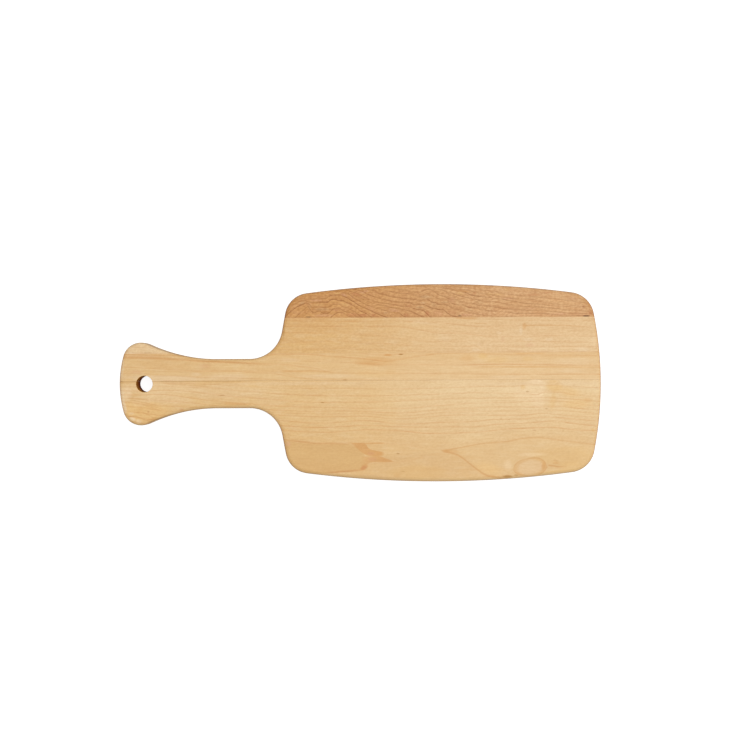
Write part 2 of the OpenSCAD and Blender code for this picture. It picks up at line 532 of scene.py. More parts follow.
# Fine structure of maple: streaks that follow the rings, fibres, short pores, dark flecks,
# mottle and clouds
def fineGrainGroup():
    kinds = ("Streaks", "Fibres", "Pores", "Flecks", "Mottle", "Clouds")
    group, given, out = newGroup("fineGrain", {"Along": 0.0, "Across": 0.0, "Depth": 0.0, "Count": 0.0,
                                               "Seed": 0.0}, kinds)
    for kind in kinds:
        look = grain[kind]
        across = given["Count"] if kind == "Streaks" else given["Across"]
        spot = scaledSpot(group, (given["Along"], across, given["Depth"]), look["scales"], given["Seed"])
        if kind == "Flecks":
            cells = addNode(group, "ShaderNodeTexVoronoi", {"Vector": spot, "Scale": 1.0}).outputs
            near = ramp(group, cells["Distance"], *look["size"], 1.0, 0.0)
            lot = addNode(group, "ShaderNodeSeparateColor", {0: cells["Color"]}).outputs[0]
            send(group, calc(group, "MULTIPLY", near, ramp(group, lot, *look["choice"])), out[kind])
        else:
            send(group, noise(group, spot, look["detail"], look["roughness"]), out[kind])
    return group


# Soft ellipse on the upper face. Each axis holds factors of (along, across, 1) that give 1 at
# the rim. Few values are open at once, as many patches share one shader.
def patchGroup():
    group, given, out = newGroup("softPatch", {"Spot": (0, 0, 1), "Long Axis": (1, 0, 0),
                                               "Side Axis": (0, 1, 0), "Core": 0.3, "Ink": 1.0}, ["Mask"])
    reaches = []
    for axis in ("Long Axis", "Side Axis"):
        dot = addNode(group, "ShaderNodeVectorMath", {0: given["Spot"], 1: given[axis]},
                      operation="DOT_PRODUCT")
        reaches.append(dot.outputs["Value"])
    first, second = reaches
    square = calc(group, "MULTIPLY_ADD", first, first, calc(group, "MULTIPLY", second, second))
    reach = calc(group, "SQRT", square)
    send(group, ramp(group, reach, given["Core"], 1.0, given["Ink"], 0.0), out["Mask"])
    return group


# Stroke of darker or paler wood along a route, full in its innermost tenth
def strokeGroup():
    group, given, out = newGroup("grainStroke", {"Across": 0.0, "Route": 0.0, "Half Width": 1.0,
                                                 "Ink": 1.0}, ["Mask"])
    off = calc(group, "ABSOLUTE", calc(group, "SUBTRACT", given["Across"], given["Route"]))
    near = ramp(group, calc(group, "DIVIDE", off, given["Half Width"]), 0.1, 1.0, 1.0, 0.0)
    send(group, calc(group, "MULTIPLY", near, given["Ink"]), out["Mask"])
    return group


# Area between an upper and a lower route, with soft borders that lie half outside it
def areaGroup():
    group, given, out = newGroup("grainArea", {"Across": 0.0, "Upper": 1.0, "Lower": 0.0, "Soft": 0.5,
                                               "Ink": 1.0}, ["Mask"])
    below = calc(group, "DIVIDE", calc(group, "SUBTRACT", given["Upper"], given["Across"]), given["Soft"])
    above = calc(group, "DIVIDE", calc(group, "SUBTRACT", given["Across"], given["Lower"]), given["Soft"])
    inside = calc(group, "MULTIPLY", ramp(group, below, -0.5, 0.5), ramp(group, above, -0.5, 0.5))
    send(group, calc(group, "MULTIPLY", inside, given["Ink"]), out["Mask"])
    return group


# How a face lies to the fibres: Tint starts where a round-over cuts across them, End is full
# on the ends of the board, and Edge is full on every upright wall. Tint also places a painted
# highlight on the pale staves, and Edge places painted shade on the walls and round-overs.
def endGrainGroup():
    group, given, out = newGroup("endGrain", {}, ["Tint", "End", "Edge"])
    normal = addNode(group, "ShaderNodeTexCoord").outputs["Normal"]
    parts = addNode(group, "ShaderNodeSeparateXYZ", {0: normal}).outputs
    for face, axis in (("Tint", "X"), ("End", "X"), ("Edge", "Z")):
        size = calc(group, "ABSOLUTE", parts[axis])
        send(group, ramp(group, size, *faceTurns[face]), out[face])
    return group


# The drilled wall of the hanging hole, with painted shade that darkens it towards its lower end
def boreGroup():
    group, given, out = newGroup("drilledWall", {}, ["Wall", "BoreShade"])
    place = addNode(group, "ShaderNodeTexCoord").outputs["Object"]
    middle = (hole["inset"] - board["halfLength"], 0, 0)
    off = addNode(group, "ShaderNodeVectorMath", {0: place, 1: middle}, operation="SUBTRACT").outputs[0]
    parts = addNode(group, "ShaderNodeSeparateXYZ", {0: off}).outputs
    flat = combine(group, parts["X"], parts["Y"], 0.0)
    reach = addNode(group, "ShaderNodeVectorMath", {0: flat}, operation="LENGTH").outputs["Value"]
    radius = hole["diameter"] / 2
    outside = radius + hole["rim"] * hole["wallFrom"]
    high, low = (share * board["thickness"] for share in hole["darkening"])
    send(group, ramp(group, reach, outside, radius + hole["wallSlack"]), out["Wall"])
    send(group, ramp(group, parts["Z"], high, low), out["BoreShade"])
    return group


groups = {
    "flow": woodFlowGroup(),
    "step": ringStepGroup(),
    "ringLine": ringLineGroup(),
    "tone": ringToneGroup(),
    "fine": fineGrainGroup(),
    "patch": patchGroup(),
    "stroke": strokeGroup(),
    "area": areaGroup(),
    "endGrain": endGrainGroup(),
    "bore": boreGroup(),
}
print("shader groups built")


def newMaterial(name):
    material = bpy.data.materials.new(name)
    material.use_nodes = True
    return material.node_tree, material.node_tree.nodes["Principled BSDF"], material


# Photographed points as a curve of millimetres across over millimetres along
def routeCurve(tree, along, points):
    return addCurve(tree, along, [fromPhoto(x, y) for x, y in points], "AUTO_CLAMPED")


# Strength along the board: one number, or values given at pixels of the photograph
def inkAlong(tree, along, ink):
    if isinstance(ink, (int, float)):
        return ink
    return addCurve(tree, along, [(fromPhoto(x)[0], value) for x, value in ink], "VECTOR")


# The two axes of a patch as the group softPatch takes them, from its middle, its half sizes in
# pixels and its turn
def patchAxes(middle, size, turn):
    x, y = fromPhoto(*middle)
    cosine, sine = math.cos(turn), math.sin(turn)
    halfLength, halfWidth = size[0] * pixelMm, size[1] * pixelMm
    longAxis = (cosine / halfLength, sine / halfLength, -(x * cosine + y * sine) / halfLength)
    sideAxis = (-sine / halfWidth, cosine / halfWidth, (x * sine - y * cosine) / halfWidth)
    return longAxis, sideAxis


def addBump(tree, shader, height, look):
    bump = addNode(tree, "ShaderNodeBump", {"Strength": look["bumpStrength"],
                                            "Distance": look["bumpDistance"], "Height": height})
    tree.links.new(bump.outputs["Normal"], shader.inputs["Normal"])


# How the wood takes the light. Shares of the fibres, the end grain and the drilled wall add to
# the roughness, and flecks lie lower than the fibres.
surface = {
    "roughness": 0.42,
    "fibreRoughness": 0.16,
    "endRoughness": 0.12,
    "boreRoughness": 0.5,
    "fleckHeight": -0.8,
    "bumpStrength": 0.35,
    "bumpDistance": 0.06 * mm,
    "ior": 1.45,
    "specular": 0.3,
}


# Growth rings: how many lines lie above a point, with its share of the way to the next one, and
# the mask of the dark lines
def growthRings(tree, along, across, figure):
    count = 0.0
    routes = [routeCurve(tree, along, points) for points, ink in figure["ringLines"]]
    for upper, lower in zip(routes, routes[1:]):
        share = useGroup(tree, "step", {"Across": across, "Upper": upper, "Lower": lower})["Share"]
        count = calc(tree, "ADD", count, share)
    line = 0.0
    for number, (route, (points, ink)) in enumerate(zip(routes, figure["ringLines"])):
        seed = figure["seed"] + figure["seedStep"] * number
        mask = useGroup(tree, "ringLine", {"Across": across, "Route": route, "Along": along, "Seed": seed,
                                           "Width": figure["lineWidth"],
                                           "Ink": inkAlong(tree, along, ink)})["Mask"]
        line = calc(tree, "MAXIMUM", line, mask)
    return count, calc(tree, "MULTIPLY", line, inkAlong(tree, along, figure["lineInk"]))


# Wood of one stave, from its figure dictionary
def staveFinish(name, figure):
    tree, shader, material = newMaterial(name)
    flow = useGroup(tree, "flow", {"Lean": figure["lean"], "Waver": figure["waver"]})
    along, across, depth = flow["Along"], flow["Across"], flow["Depth"]
    upperFace = ramp(tree, depth, *figure["figureDepth"], 1.0, 0.0)
    count, line = growthRings(tree, along, across, figure)
    tone = useGroup(tree, "tone", {"Count": count})["Tone"]
    fine = useGroup(tree, "fine", {"Along": along, "Across": across, "Depth": depth, "Count": count,
                                   "Seed": figure["seed"]})

    def draw(ground, mask, shade):
        return mixColour(tree, calc(tree, "MULTIPLY", mask, upperFace), ground, shades[shade])

    leftX, rightX = (fromPhoto(pixel)[0] for pixel in figure["tonePixels"])
    ground = mixColour(tree, ramp(tree, along, leftX, rightX), figure["leftGround"], figure["rightGround"])
    bands = addCurve(tree, count, figure["bands"], "AUTO_CLAMPED")
    ground = mixColour(tree, bands, ground, figure["bandColour"])
    for kind, most, shade in (("Clouds", "clouds", "cloudColour"), ("Mottle", "mottle", "mottleColour")):
        strength = ramp(tree, fine[kind], *grain[kind]["range"], 0.0, figure[most])
        ground = mixColour(tree, strength, ground, figure[shade])

    for area in figure["areas"]:
        mask = useGroup(tree, "area", {
            "Across": across, "Upper": routeCurve(tree, along, area["upper"]),
            "Lower": routeCurve(tree, along, area["lower"]), "Soft": area["soft"] * pixelMm,
            "Ink": inkAlong(tree, along, area["ink"])})["Mask"]
        ground = draw(ground, mask, area["shade"])
    spot = combine(tree, along, across, 1.0)
    for middle, size, turn, core, ink, shade in figure["patches"]:
        longAxis, sideAxis = patchAxes(middle, size, math.radians(turn))
        mask = useGroup(tree, "patch", {"Spot": spot, "Long Axis": longAxis, "Side Axis": sideAxis,
                                        "Core": core, "Ink": ink})["Mask"]
        ground = draw(ground, mask, shade)

    ground = mixColour(tree, calc(tree, "MULTIPLY", tone, figure["tone"]), ground, figure["lineColour"])
    ground = mixColour(tree, line, ground, figure["lineColour"])
    for route, halfWidth, ink, shade in figure["strokes"]:
        mask = useGroup(tree, "stroke", {
            "Across": across, "Route": routeCurve(tree, along, route),
            "Half Width": halfWidth * pixelMm, "Ink": inkAlong(tree, along, ink)})["Mask"]
        ground = draw(ground, mask, shade)

    calm = ramp(tree, count, figure["calmFrom"], figure["calmFrom"] + 1, 1.0, figure["calmShare"])
    for kind, shade in (("Streaks", "streakColour"), ("Fibres", "streakColour"),
                        ("Pores", "streakColour"), ("Flecks", "fleckColour")):
        most = calc(tree, "MULTIPLY", calm, inkAlong(tree, along, figure[kind.lower()]))
        strength = ramp(tree, fine[kind], *grain[kind]["range"], 0.0, most)
        ground = mixColour(tree, strength, ground, figure[shade], "MULTIPLY")

    # Tint and painted highlight where round-overs face along the board, end grain, painted wall shade
    cut = useGroup(tree, "endGrain", {})
    for face, shade in (("Tint", "tintColour"), ("End", "endColour"), ("Edge", "edgeColour")):
        ground = mixColour(tree, cut[face], ground, figure[shade], "MULTIPLY")
    # Drilled colour on the wall, with painted shade towards the hole's lower end
    bore = useGroup(tree, "bore", {})
    drilled = mixColour(tree, bore["BoreShade"], figure["boreColour"], figure["boreShadeColour"])
    ground = mixColour(tree, bore["Wall"], ground, drilled, "MULTIPLY")
    tree.links.new(ground, shader.inputs["Base Color"])

    rough = calc(tree, "MULTIPLY_ADD", fine["Fibres"], surface["fibreRoughness"], surface["roughness"])
    rough = calc(tree, "MULTIPLY_ADD", cut["End"], surface["endRoughness"], rough)
    rough = calc(tree, "MULTIPLY_ADD", bore["Wall"], surface["boreRoughness"], rough, clamp=True)
    tree.links.new(rough, shader.inputs["Roughness"])
    height = calc(tree, "MULTIPLY_ADD", fine["Flecks"], surface["fleckHeight"], fine["Fibres"])
    height = calc(tree, "MULTIPLY_ADD", line, figure["relief"], height)
    addBump(tree, shader, height, surface)
    shader.inputs["IOR"].default_value = surface["ior"]
    shader.inputs["Specular IOR Level"].default_value = surface["specular"]
    return material


# Shades that strokes, areas and patches are drawn in
shades = {
    "brown": colour(184, 130, 58),
    "darkBrown": colour(90, 56, 16),
    "rust": colour(184, 104, 52),
    "red": colour(208, 138, 90),
    "orange": colour(224, 170, 104),
    "amber": colour(228, 176, 108),
    "golden": colour(238, 197, 128),
    "honey": colour(246, 206, 140),
    "cream": colour(254, 228, 186),
    "grain": colour(222, 172, 112),
    "tan": colour(224, 176, 114),
    "pale": colour(242, 210, 160),
    "white": colour(246, 220, 180),
    "pink": colour(230, 178, 142),
    "rose": colour(224, 166, 122),
    "sage": colour(214, 176, 128),
    "heart": colour(226, 184, 122),
}

# Wood that all the staves share. What is drawn on the upper face fades out between the two
# figure depths, in millimetres. The grain calms from the ring that calmFrom names, and 99 lies
# past the last ring.
maple = {
    "figureDepth": (5, 12), "seedStep": 7.3, "calmFrom": 99, "calmShare": 0.7, "areas": [],
    # The drilled wall's colour, and the painted shade it takes towards the hole's lower end
    "boreColour": colour(270, 238, 100), "boreShadeColour": colour(196, 124, 10),
}

paleMaple = {
    **maple,
    "clouds": 0.25, "mottle": 0.3, "lineWidth": 0.8, "tone": 0.06, "relief": 0.0,
    "streakColour": colour(226, 208, 186), "streaks": 0.23, "fibres": 0.26,
    "fleckColour": colour(176, 142, 106), "flecks": 0.3,
    # A painted highlight where round-overs face along the board, end grain colour, painted wall shade
    "tintColour": colour(264, 256, 249), "endColour": colour(236, 222, 206),
    "edgeColour": colour(198, 188, 174),
}

# Figure of each stave, drawn over the photograph and in its pixels. A ring line is its route
# and ink, a stroke its route, half width, ink and shade, and a patch its middle, half sizes,
# turn in degrees, core, ink and shade. Ink is a number, or numbers at pixels along.

heartwood = {
    **maple,
    "seed": 3.7, "lean": 0.42, "waver": 0.5,
    "leftGround": colour(237, 186, 116), "rightGround": colour(250, 210, 157), "tonePixels": (330, 500),
    "bandColour": colour(200, 138, 78), "bands": [(0, 0.1), (4, 0.15), (8, 0.25), (16, 0.1)],
    "cloudColour": colour(198, 140, 81), "clouds": 0.3,
    "mottleColour": colour(230, 178, 122), "mottle": 0.5,
    "lineColour": colour(162, 98, 40), "lineWidth": 0.9, "tone": 0.1, "relief": 0.3,
    "lineInk": [(330, 0.94), (350, 0.86), (500, 0.82), (600, 0.7)],
    "streakColour": colour(214, 190, 168), "streaks": 0.4, "fibres": 0.36,
    "pores": [(300, 0.53), (360, 0.6), (440, 0.6), (480, 0.66), (520, 0.52)],
    "fleckColour": colour(150, 112, 84), "flecks": 0.35,
    # Tint where round-overs cut the fibres, end grain colour, and painted shade on the steep walls
    "tintColour": colour(254, 245, 234), "endColour": colour(232, 208, 188),
    "edgeColour": colour(190, 176, 160),
    "ringLines": [
        ([(270, 240), (430, 283), (444, 286.7), (456, 287), (470, 288), (480, 290), (495, 291.7),
          (502, 293.3), (515, 295.2), (525, 296.5), (536, 297), (551, 298.5), (561, 299.6), (572, 301.3),
          (583, 302.5), (610, 304)], 0.4),
        ([(270, 248), (420, 284), (445, 287.8), (458, 289.5), (466, 289.9), (474, 292), (480, 293.5),
          (487, 294.3), (495, 295.9), (500, 297), (521, 299.3), (536, 300.2), (544, 302.2), (551, 303.7),
          (561, 304.4), (572, 305.5), (610, 308)], 0.4),
        ([(270, 254), (400, 283), (436, 287), (445, 288.5), (450, 289.3), (456, 290.5), (461, 291.2),
          (465, 292.5), (467, 293), (469.5, 294.5), (472, 295.3), (480, 296.5), (487, 297.2), (495, 298.5),
          (502, 299.2), (507, 300.4), (515, 301.5), (525, 303.3), (536, 304.1), (551, 305.5), (572, 307),
          (610, 310)], [(436, 0.3), (460, 0.45), (465, 0.65), (520, 0.55), (540, 0.35), (600, 0.3)]),
        ([(270, 258), (390, 284), (428, 287.3), (435, 288.3), (438, 289.7), (443, 290.5), (445, 291.3),
          (449, 293.2), (452, 293.4), (458, 295.5), (461, 296.3), (465, 297.5), (474, 299.3), (487, 301.3),
          (495, 302.2), (502, 303.3), (512, 305.2), (521, 306.3), (530, 306.9), (544, 307.4), (556, 308.7),
          (566, 310), (583, 310.9), (610, 312.5)],
         [(430, 0.3), (437, 0.65), (464, 0.55), (480, 0.4), (610, 0.35)]),
        ([(270, 262), (380, 285), (397, 289.5), (403, 291), (408, 291.3), (412, 292.6), (420, 292.5),
          (422, 291.3), (424, 290.3), (428, 289.3), (432, 290.2), (434, 291.2), (437, 293.8), (441, 295.7),
          (444, 296.3), (446.5, 297.7), (450, 299), (456, 299.7), (460, 301.3), (466, 302.7), (474, 303.7),
          (480, 305.4), (487, 306.3), (495, 307.4), (502, 308.5), (512, 309.3), (521, 310.2), (544, 310.7),
          (556, 312.2), (578, 313.5), (610, 314)],
         [(395, 0.3), (420, 0.4), (432, 0.65), (460, 0.5), (500, 0.4), (610, 0.35)]),
        ([(270, 266), (369, 287), (380, 289.3), (388, 291.2), (396, 292.5), (400, 293.4), (413, 294.4),
          (417, 296), (420, 296.3), (423, 295.7), (428, 293.6), (431, 294.5), (435, 297.3), (439, 298.8),
          (443, 299.5), (446.5, 299.6), (448.5, 301), (452, 303.3), (458, 305), (465, 305.7), (469, 307.5),
          (473, 307.8), (480, 309), (487, 310.9), (495, 311.3), (507, 312.4), (521, 313.5), (544, 313.4),
          (551, 314.4), (566, 315.3), (610, 316.5)],
         [(380, 0.3), (391, 0.35), (394, 0.6), (399, 0.6), (402, 0.35), (415, 0.6), (423, 0.5), (428, 0.4),
          (431, 0.65), (440, 0.6), (450, 0.5), (470, 0.6), (512, 0.5), (516, 0.65), (545, 0.5), (565, 0.2),
          (610, 0.2)]),
        ([(270, 270), (360, 287), (369, 289.6), (375, 291.3), (380, 293.8), (384, 294.5), (391, 296.5),
          (397, 297.3), (403, 298.3), (409, 298.5), (412, 299.2), (415.5, 299.4), (417.5, 300.5),
          (421, 300.5), (425, 299.5), (428, 299.7), (432, 302.2), (435.5, 302.7), (438, 304.3),
          (443, 304.5), (449, 306), (451, 307.3), (456.5, 309.2), (462, 310.3), (467, 311.7), (473, 313.2),
          (480, 314.6), (487, 315.4), (520, 317.5), (610, 322)],
         [(370, 0.3), (384, 0.6), (412, 0.55), (425, 0.4), (430, 0.65), (470, 0.75), (490, 0.5)]),
        ([(270, 274), (350, 287.5), (360, 290.8), (363.5, 291.8), (367, 294.2), (372, 296.2), (377, 297.9),
          (384, 299.3), (389, 300.5), (394, 301.5), (400, 302.2), (411, 303.2), (413, 304.3), (423, 304.5),
          (428, 306.3), (430.5, 307.7), (435, 308.5), (440, 309.8), (442, 309.6), (444.5, 310.3),
          (446, 312), (448, 313.5), (452, 315.7), (458, 317), (610, 330)],
         [(360, 0.6), (380, 0.6), (400, 0.5), (412, 0.6), (424, 0.6), (428, 0.85), (438, 1), (456, 1)]),
        ([(270, 278), (340, 288.5), (350.5, 291.1), (355, 293), (359.5, 294.5), (363, 296.5), (367, 298.9),
          (372, 300.6), (377, 302.2), (387, 303.8), (393, 304.7), (401, 306.3), (407, 306.8), (412, 307.7),
          (415.5, 309.2), (418, 309.7), (423.5, 310.7), (426.5, 313.3), (428.5, 315.3), (431, 318),
          (610, 338)],
         [(345, 0.5), (365, 0.55), (380, 0.4), (400, 0.45), (407, 0.7), (414, 0.95), (423, 0.9), (426, 1.1),
          (431, 1.1)]),
        ([(270, 280), (330, 288.5), (345, 291.4), (352.5, 294.8), (358, 297.5), (364, 300.2), (371, 302.6),
          (376, 304.5), (384, 306), (393, 307.8), (404, 310), (410, 311), (412.5, 312), (417, 314.2),
          (421, 316.3), (425, 319), (610, 346)],
         [(340, 0.1), (360, 0.2), (370, 0.4), (409, 0.4), (413, 0.7), (421, 0.65)]),
        ([(270, 284), (328, 290), (339, 291.6), (345, 293.1), (349, 294.3), (352.5, 297.2), (356.5, 299.6),
          (361, 302), (366, 304.7), (370.5, 306.3), (376, 308.1), (386, 310.5), (392, 312.3), (397, 312.8),
          (399.5, 313.3), (401, 314.5), (403, 316), (408, 318), (610, 354)],
         [(335, 0.4), (350, 0.55), (365, 0.5), (375, 0.4), (390, 0.5), (399, 0.6), (401, 1.1), (406, 1.1)]),
        ([(270, 320), (290, 305), (296, 300.5), (300, 298.8), (308, 299.3), (318, 298.8), (325, 298.8),
          (327.5, 297.6), (330, 295.9), (332, 295.2), (340, 295.5), (343.5, 296.4), (348, 298.4),
          (351, 300.5), (355, 302.6), (357, 304.2), (361, 306.5), (365, 308.2), (369.5, 310.2),
          (374, 312.5), (381, 315.4), (384, 316.5), (388, 318), (610, 362)],
         [(290, 0.3), (312, 0.5), (330, 0.6), (345, 0.75), (352, 0.95), (358, 0.95), (364, 0.75),
          (370, 0.8), (376, 1), (386, 1.1)]),
        ([(270, 325), (285, 314), (289, 309.8), (292, 305.7), (294, 304.5), (297, 303), (301, 301.1),
          (305, 300.6), (307, 301.6), (311, 302.3), (322, 302.4), (328, 302.3), (329.7, 300.6),
          (332, 299.4), (335.7, 299.3), (337, 300.4), (343.5, 301), (347, 303), (351.5, 304.5),
          (354.5, 306.9), (358, 309.1), (362, 311.9), (366, 313.6), (370, 316.3), (373, 318), (610, 370)],
         [(285, 0.7), (300, 0.65), (312, 0.7), (327, 0.75), (336, 0.8), (345, 0.6), (355, 0.8), (361, 0.9),
          (370, 1.1)]),
        ([(270, 328), (286, 315.5), (291, 311.5), (294, 309.1), (298, 306.4), (303, 304.5), (306.5, 302.9),
          (309, 304), (311, 306.7), (313, 307.4), (327, 307.4), (330, 306.4), (333.5, 304.6),
          (338.5, 304.4), (342, 306.7), (347, 308.1), (351, 309.8), (354.5, 311.9), (358.5, 314.9),
          (360.5, 316.3), (364, 318.5), (610, 378)],
         [(285, 0.7), (305, 0.7), (308, 0.3), (311, 0.5), (325, 0.55), (340, 0.6), (352, 0.55), (357, 0.8),
          (361, 1.1)]),
        ([(270, 340), (296, 317), (299, 314.2), (302.5, 311.2), (306, 308.3), (308, 306.8), (309, 307.5),
          (310, 309.5), (311.2, 311.2), (313, 312.5), (315.7, 312.5), (317, 311.4), (320, 311.2),
          (322.5, 313.2), (328, 313.2), (332.5, 309.8), (335.5, 308.3), (340, 308.6), (341.3, 309.8),
          (345.5, 311.9), (351, 312.9), (354.5, 315.3), (358, 317.5), (610, 386)],
         [(294, 0.7), (307, 0.5), (309, 0.9), (316, 0.7), (321, 0.8), (323, 1.1), (328, 1), (334, 0.8),
          (342, 0.7), (352, 0.5)]),
        ([(270, 350), (300, 319), (304, 315.9), (306, 314.2), (307.2, 312.5), (308.8, 311), (311, 312.2),
          (313, 313.5), (330, 315.5), (345, 321), (610, 390)], [(300, 0.8), (308, 0.7), (310, 0)]),
        ([(270, 360), (325, 322), (332, 316.5), (335.5, 313.8), (337.5, 312.9), (341, 312.4),
          (343.5, 313.6), (346, 315), (350, 317), (610, 394)], [(328, 0.4), (336, 0.8), (345, 0.5)]),
    ],
    "strokes": [
        ([(583, 315.9), (591, 315.9)], 1.1, [(582.5, 0), (585, 1), (588, 1), (590.5, 0)], "darkBrown"),
        ([(335, 316.5), (400, 316.5), (480, 315.8), (590, 315.2)], 1.2,
         [(335, 0), (340, 0.15), (345, 0.1), (480, 0.08), (540, 0.04), (566, 0.1), (583, 0.18), (592, 0)],
         "rust"),
        ([(565, 313.4), (592, 313.6)], 1.3, [(565, 0), (570, 0.16), (592, 0.2), (594, 0)], "red"),
        ([(452, 290.2), (464, 291.3), (472, 292)], 1.5, [(450, 0), (456, 0.4), (466, 0.75), (472, 0)],
         "orange"),
        ([(283, 316), (286, 311), (290, 305), (295, 300.5), (301, 297.5), (312, 296)], 2,
         [(283, 0.2), (290, 0.7), (297, 0.6), (308, 0.6), (312, 0)], "orange"),
        ([(380, 289.4), (390, 290), (398, 290.3)], 1.3, [(379, 0), (382, 0.5), (392, 0.4), (399, 0)],
         "amber"),
        ([(392, 312.6), (400, 313)], 1, [(391, 0), (393, 0.7), (397, 0.6), (401, 0)], "amber"),
    ],
    # Patches: partly the heartwood's own tone, partly painted sheen where its figure shimmers
    "patches": [
        ((309.7, 306), (2.4, 5.5), 0, 0.4, 0.75, "grain"), ((302, 303), (4.5, 1.7), 20, 0.2, 0.55, "sage"),
        ((322, 309.3), (12, 1.8), 0, 0.3, 0.5, "sage"), ((319, 304.8), (8, 1.8), 0, 0.2, 0.4, "golden"),
        ((324, 315.5), (13, 1.8), 0, 0.4, 0.35, "pink"), ((316, 300.5), (8, 1.4), 0, 0.3, 0.4, "pink"),
        ((337.5, 293.5), (4, 1.2), 0, 0.3, 0.6, "golden"), ((344, 295), (5, 1.6), -20, 0.3, 0.5, "pink"),
        ((345, 304.6), (6, 1.6), -10, 0.2, 0.5, "golden"), ((336, 310.5), (4, 1.6), 0, 0.2, 0.4, "rose"),
        ((352, 314.8), (9, 2.2), 0, 0.3, 0.45, "red"), ((363, 315), (6, 2), 0, 0.3, 0.5, "red"),
        ((374, 315.3), (6, 1.6), -15, 0.2, 0.5, "red"), ((356, 294.2), (7, 2.2), -15, 0.3, 0.45, "red"),
        ((362, 292.5), (5, 1.5), -15, 0.2, 0.4, "pink"), ((352, 296.5), (4, 1.4), -30, 0.2, 0.4, "rose"),
        ((366, 291), (4, 1.6), 0, 0.2, 0.5, "pink"), ((371, 309), (7, 3), -20, 0.3, 0.3, "rose"),
        ((386, 312.8), (4, 1.5), 0, 0.3, 0.45, "sage"), ((395, 305), (6, 1.4), 0, 0.2, 0.4, "red"),
        ((394, 310.3), (8, 2.2), -10, 0.3, 0.45, "pink"), ((409, 306), (3, 1.2), 0, 0.2, 0.6, "red"),
        ((406, 314.7), (3.5, 2), 0, 0.3, 0.55, "red"), ((426, 297), (8, 2.6), 0, 0.4, 0.5, "sage"),
        ((425, 296.6), (7, 1.5), 0, 0.2, 0.2, "white"), ((423, 302.8), (4.5, 1.2), 0, 0.3, 0.3, "white"),
        ((420, 307.2), (6, 1.8), 0, 0.3, 0.6, "sage"), ((434, 304.6), (6, 2.6), -30, 0.3, 0.4, "sage"),
        ((445, 302.3), (6, 1.6), 0, 0.4, 0.5, "sage"), ((427.5, 313.5), (3.5, 3), -45, 0.2, 0.6, "red"),
        ((438, 313), (8, 3), -10, 0.3, 0.35, "rose"), ((452, 300), (5, 5), -30, 0.2, 0.35, "pink"),
        ((458, 302), (8, 4), -15, 0.2, 0.25, "pale"), ((460, 293.6), (5, 1.8), -10, 0.3, 0.5, "golden"),
        ((474.5, 293.2), (2.6, 1.5), 0, 0.3, 0.6, "red"), ((479, 302), (7, 2.2), -10, 0.3, 0.4, "sage"),
        ((466, 315), (8, 2), 0, 0.3, 0.45, "pink"), ((452, 312), (6, 2.5), -15, 0.3, 0.35, "red"),
        ((468, 309.5), (7, 2), -15, 0.3, 0.4, "pale"), ((489, 294.2), (5, 1.4), 0, 0.3, 0.5, "golden"),
        ((498, 294.4), (7, 1.4), 0, 0.3, 0.4, "golden"), ((508, 298.6), (8, 1.1), 0, 0.3, 0.5, "pink"),
        ((528, 298.4), (9, 1.2), 0, 0.3, 0.45, "pale"), ((534, 294.8), (12, 1.2), 0, 0.3, 0.4, "red"),
        ((507, 289.6), (4, 1.4), 0, 0.3, 0.5, "golden"), ((513, 288.8), (3, 1), 0, 0.3, 0.5, "pale"),
        ((548, 292.5), (8, 1.5), 0, 0.2, 0.35, "red"), ((530, 308.6), (8, 1), 0, 0.3, 0.4, "pink"),
        ((560, 313.8), (10, 1.2), 0, 0.3, 0.35, "pink"), ((574, 298.6), (9, 1.6), 0, 0.3, 0.4, "pink"),
        ((578, 297.6), (2.6, 1.2), 0, 0.3, 0.7, "amber"), ((583, 301.5), (4, 3), -40, 0.2, 0.4, "golden"),
        ((583.2, 306.7), (2.2, 1.3), -30, 0.2, 0.6, "rust"), ((588, 306), (5, 9), 20, 0.2, 0.4, "orange"),
        ((562, 303), (18, 3.6), -3, 0.3, 0.2, "grain"), ((460, 300), (62, 16), 0, 0.6, 0.22, "tan"),
        ((550, 303), (52, 12), -2, 0.6, 0.2, "tan"), ((590.5, 312), (3, 5), 0, 0.2, 0.35, "rust"),
        ((308.3, 317), (4, 1.1), 0, 0.2, 0.5, "darkBrown"),
        ((459.7, 315.6), (2.6, 1.1), 0, 0.3, 0.75, "darkBrown"),
        ((371, 302.4), (1, 0.8), 0, 0.2, 0.6, "rust"), ((363.3, 299.5), (1.3, 1), 0, 0.2, 0.7, "brown"),
        ((388, 309), (40, 8), -14, 0.4, 0.14, "tan"), ((470, 316), (40, 1.6), 0, 0.6, 0.2, "tan"),
    ],
}

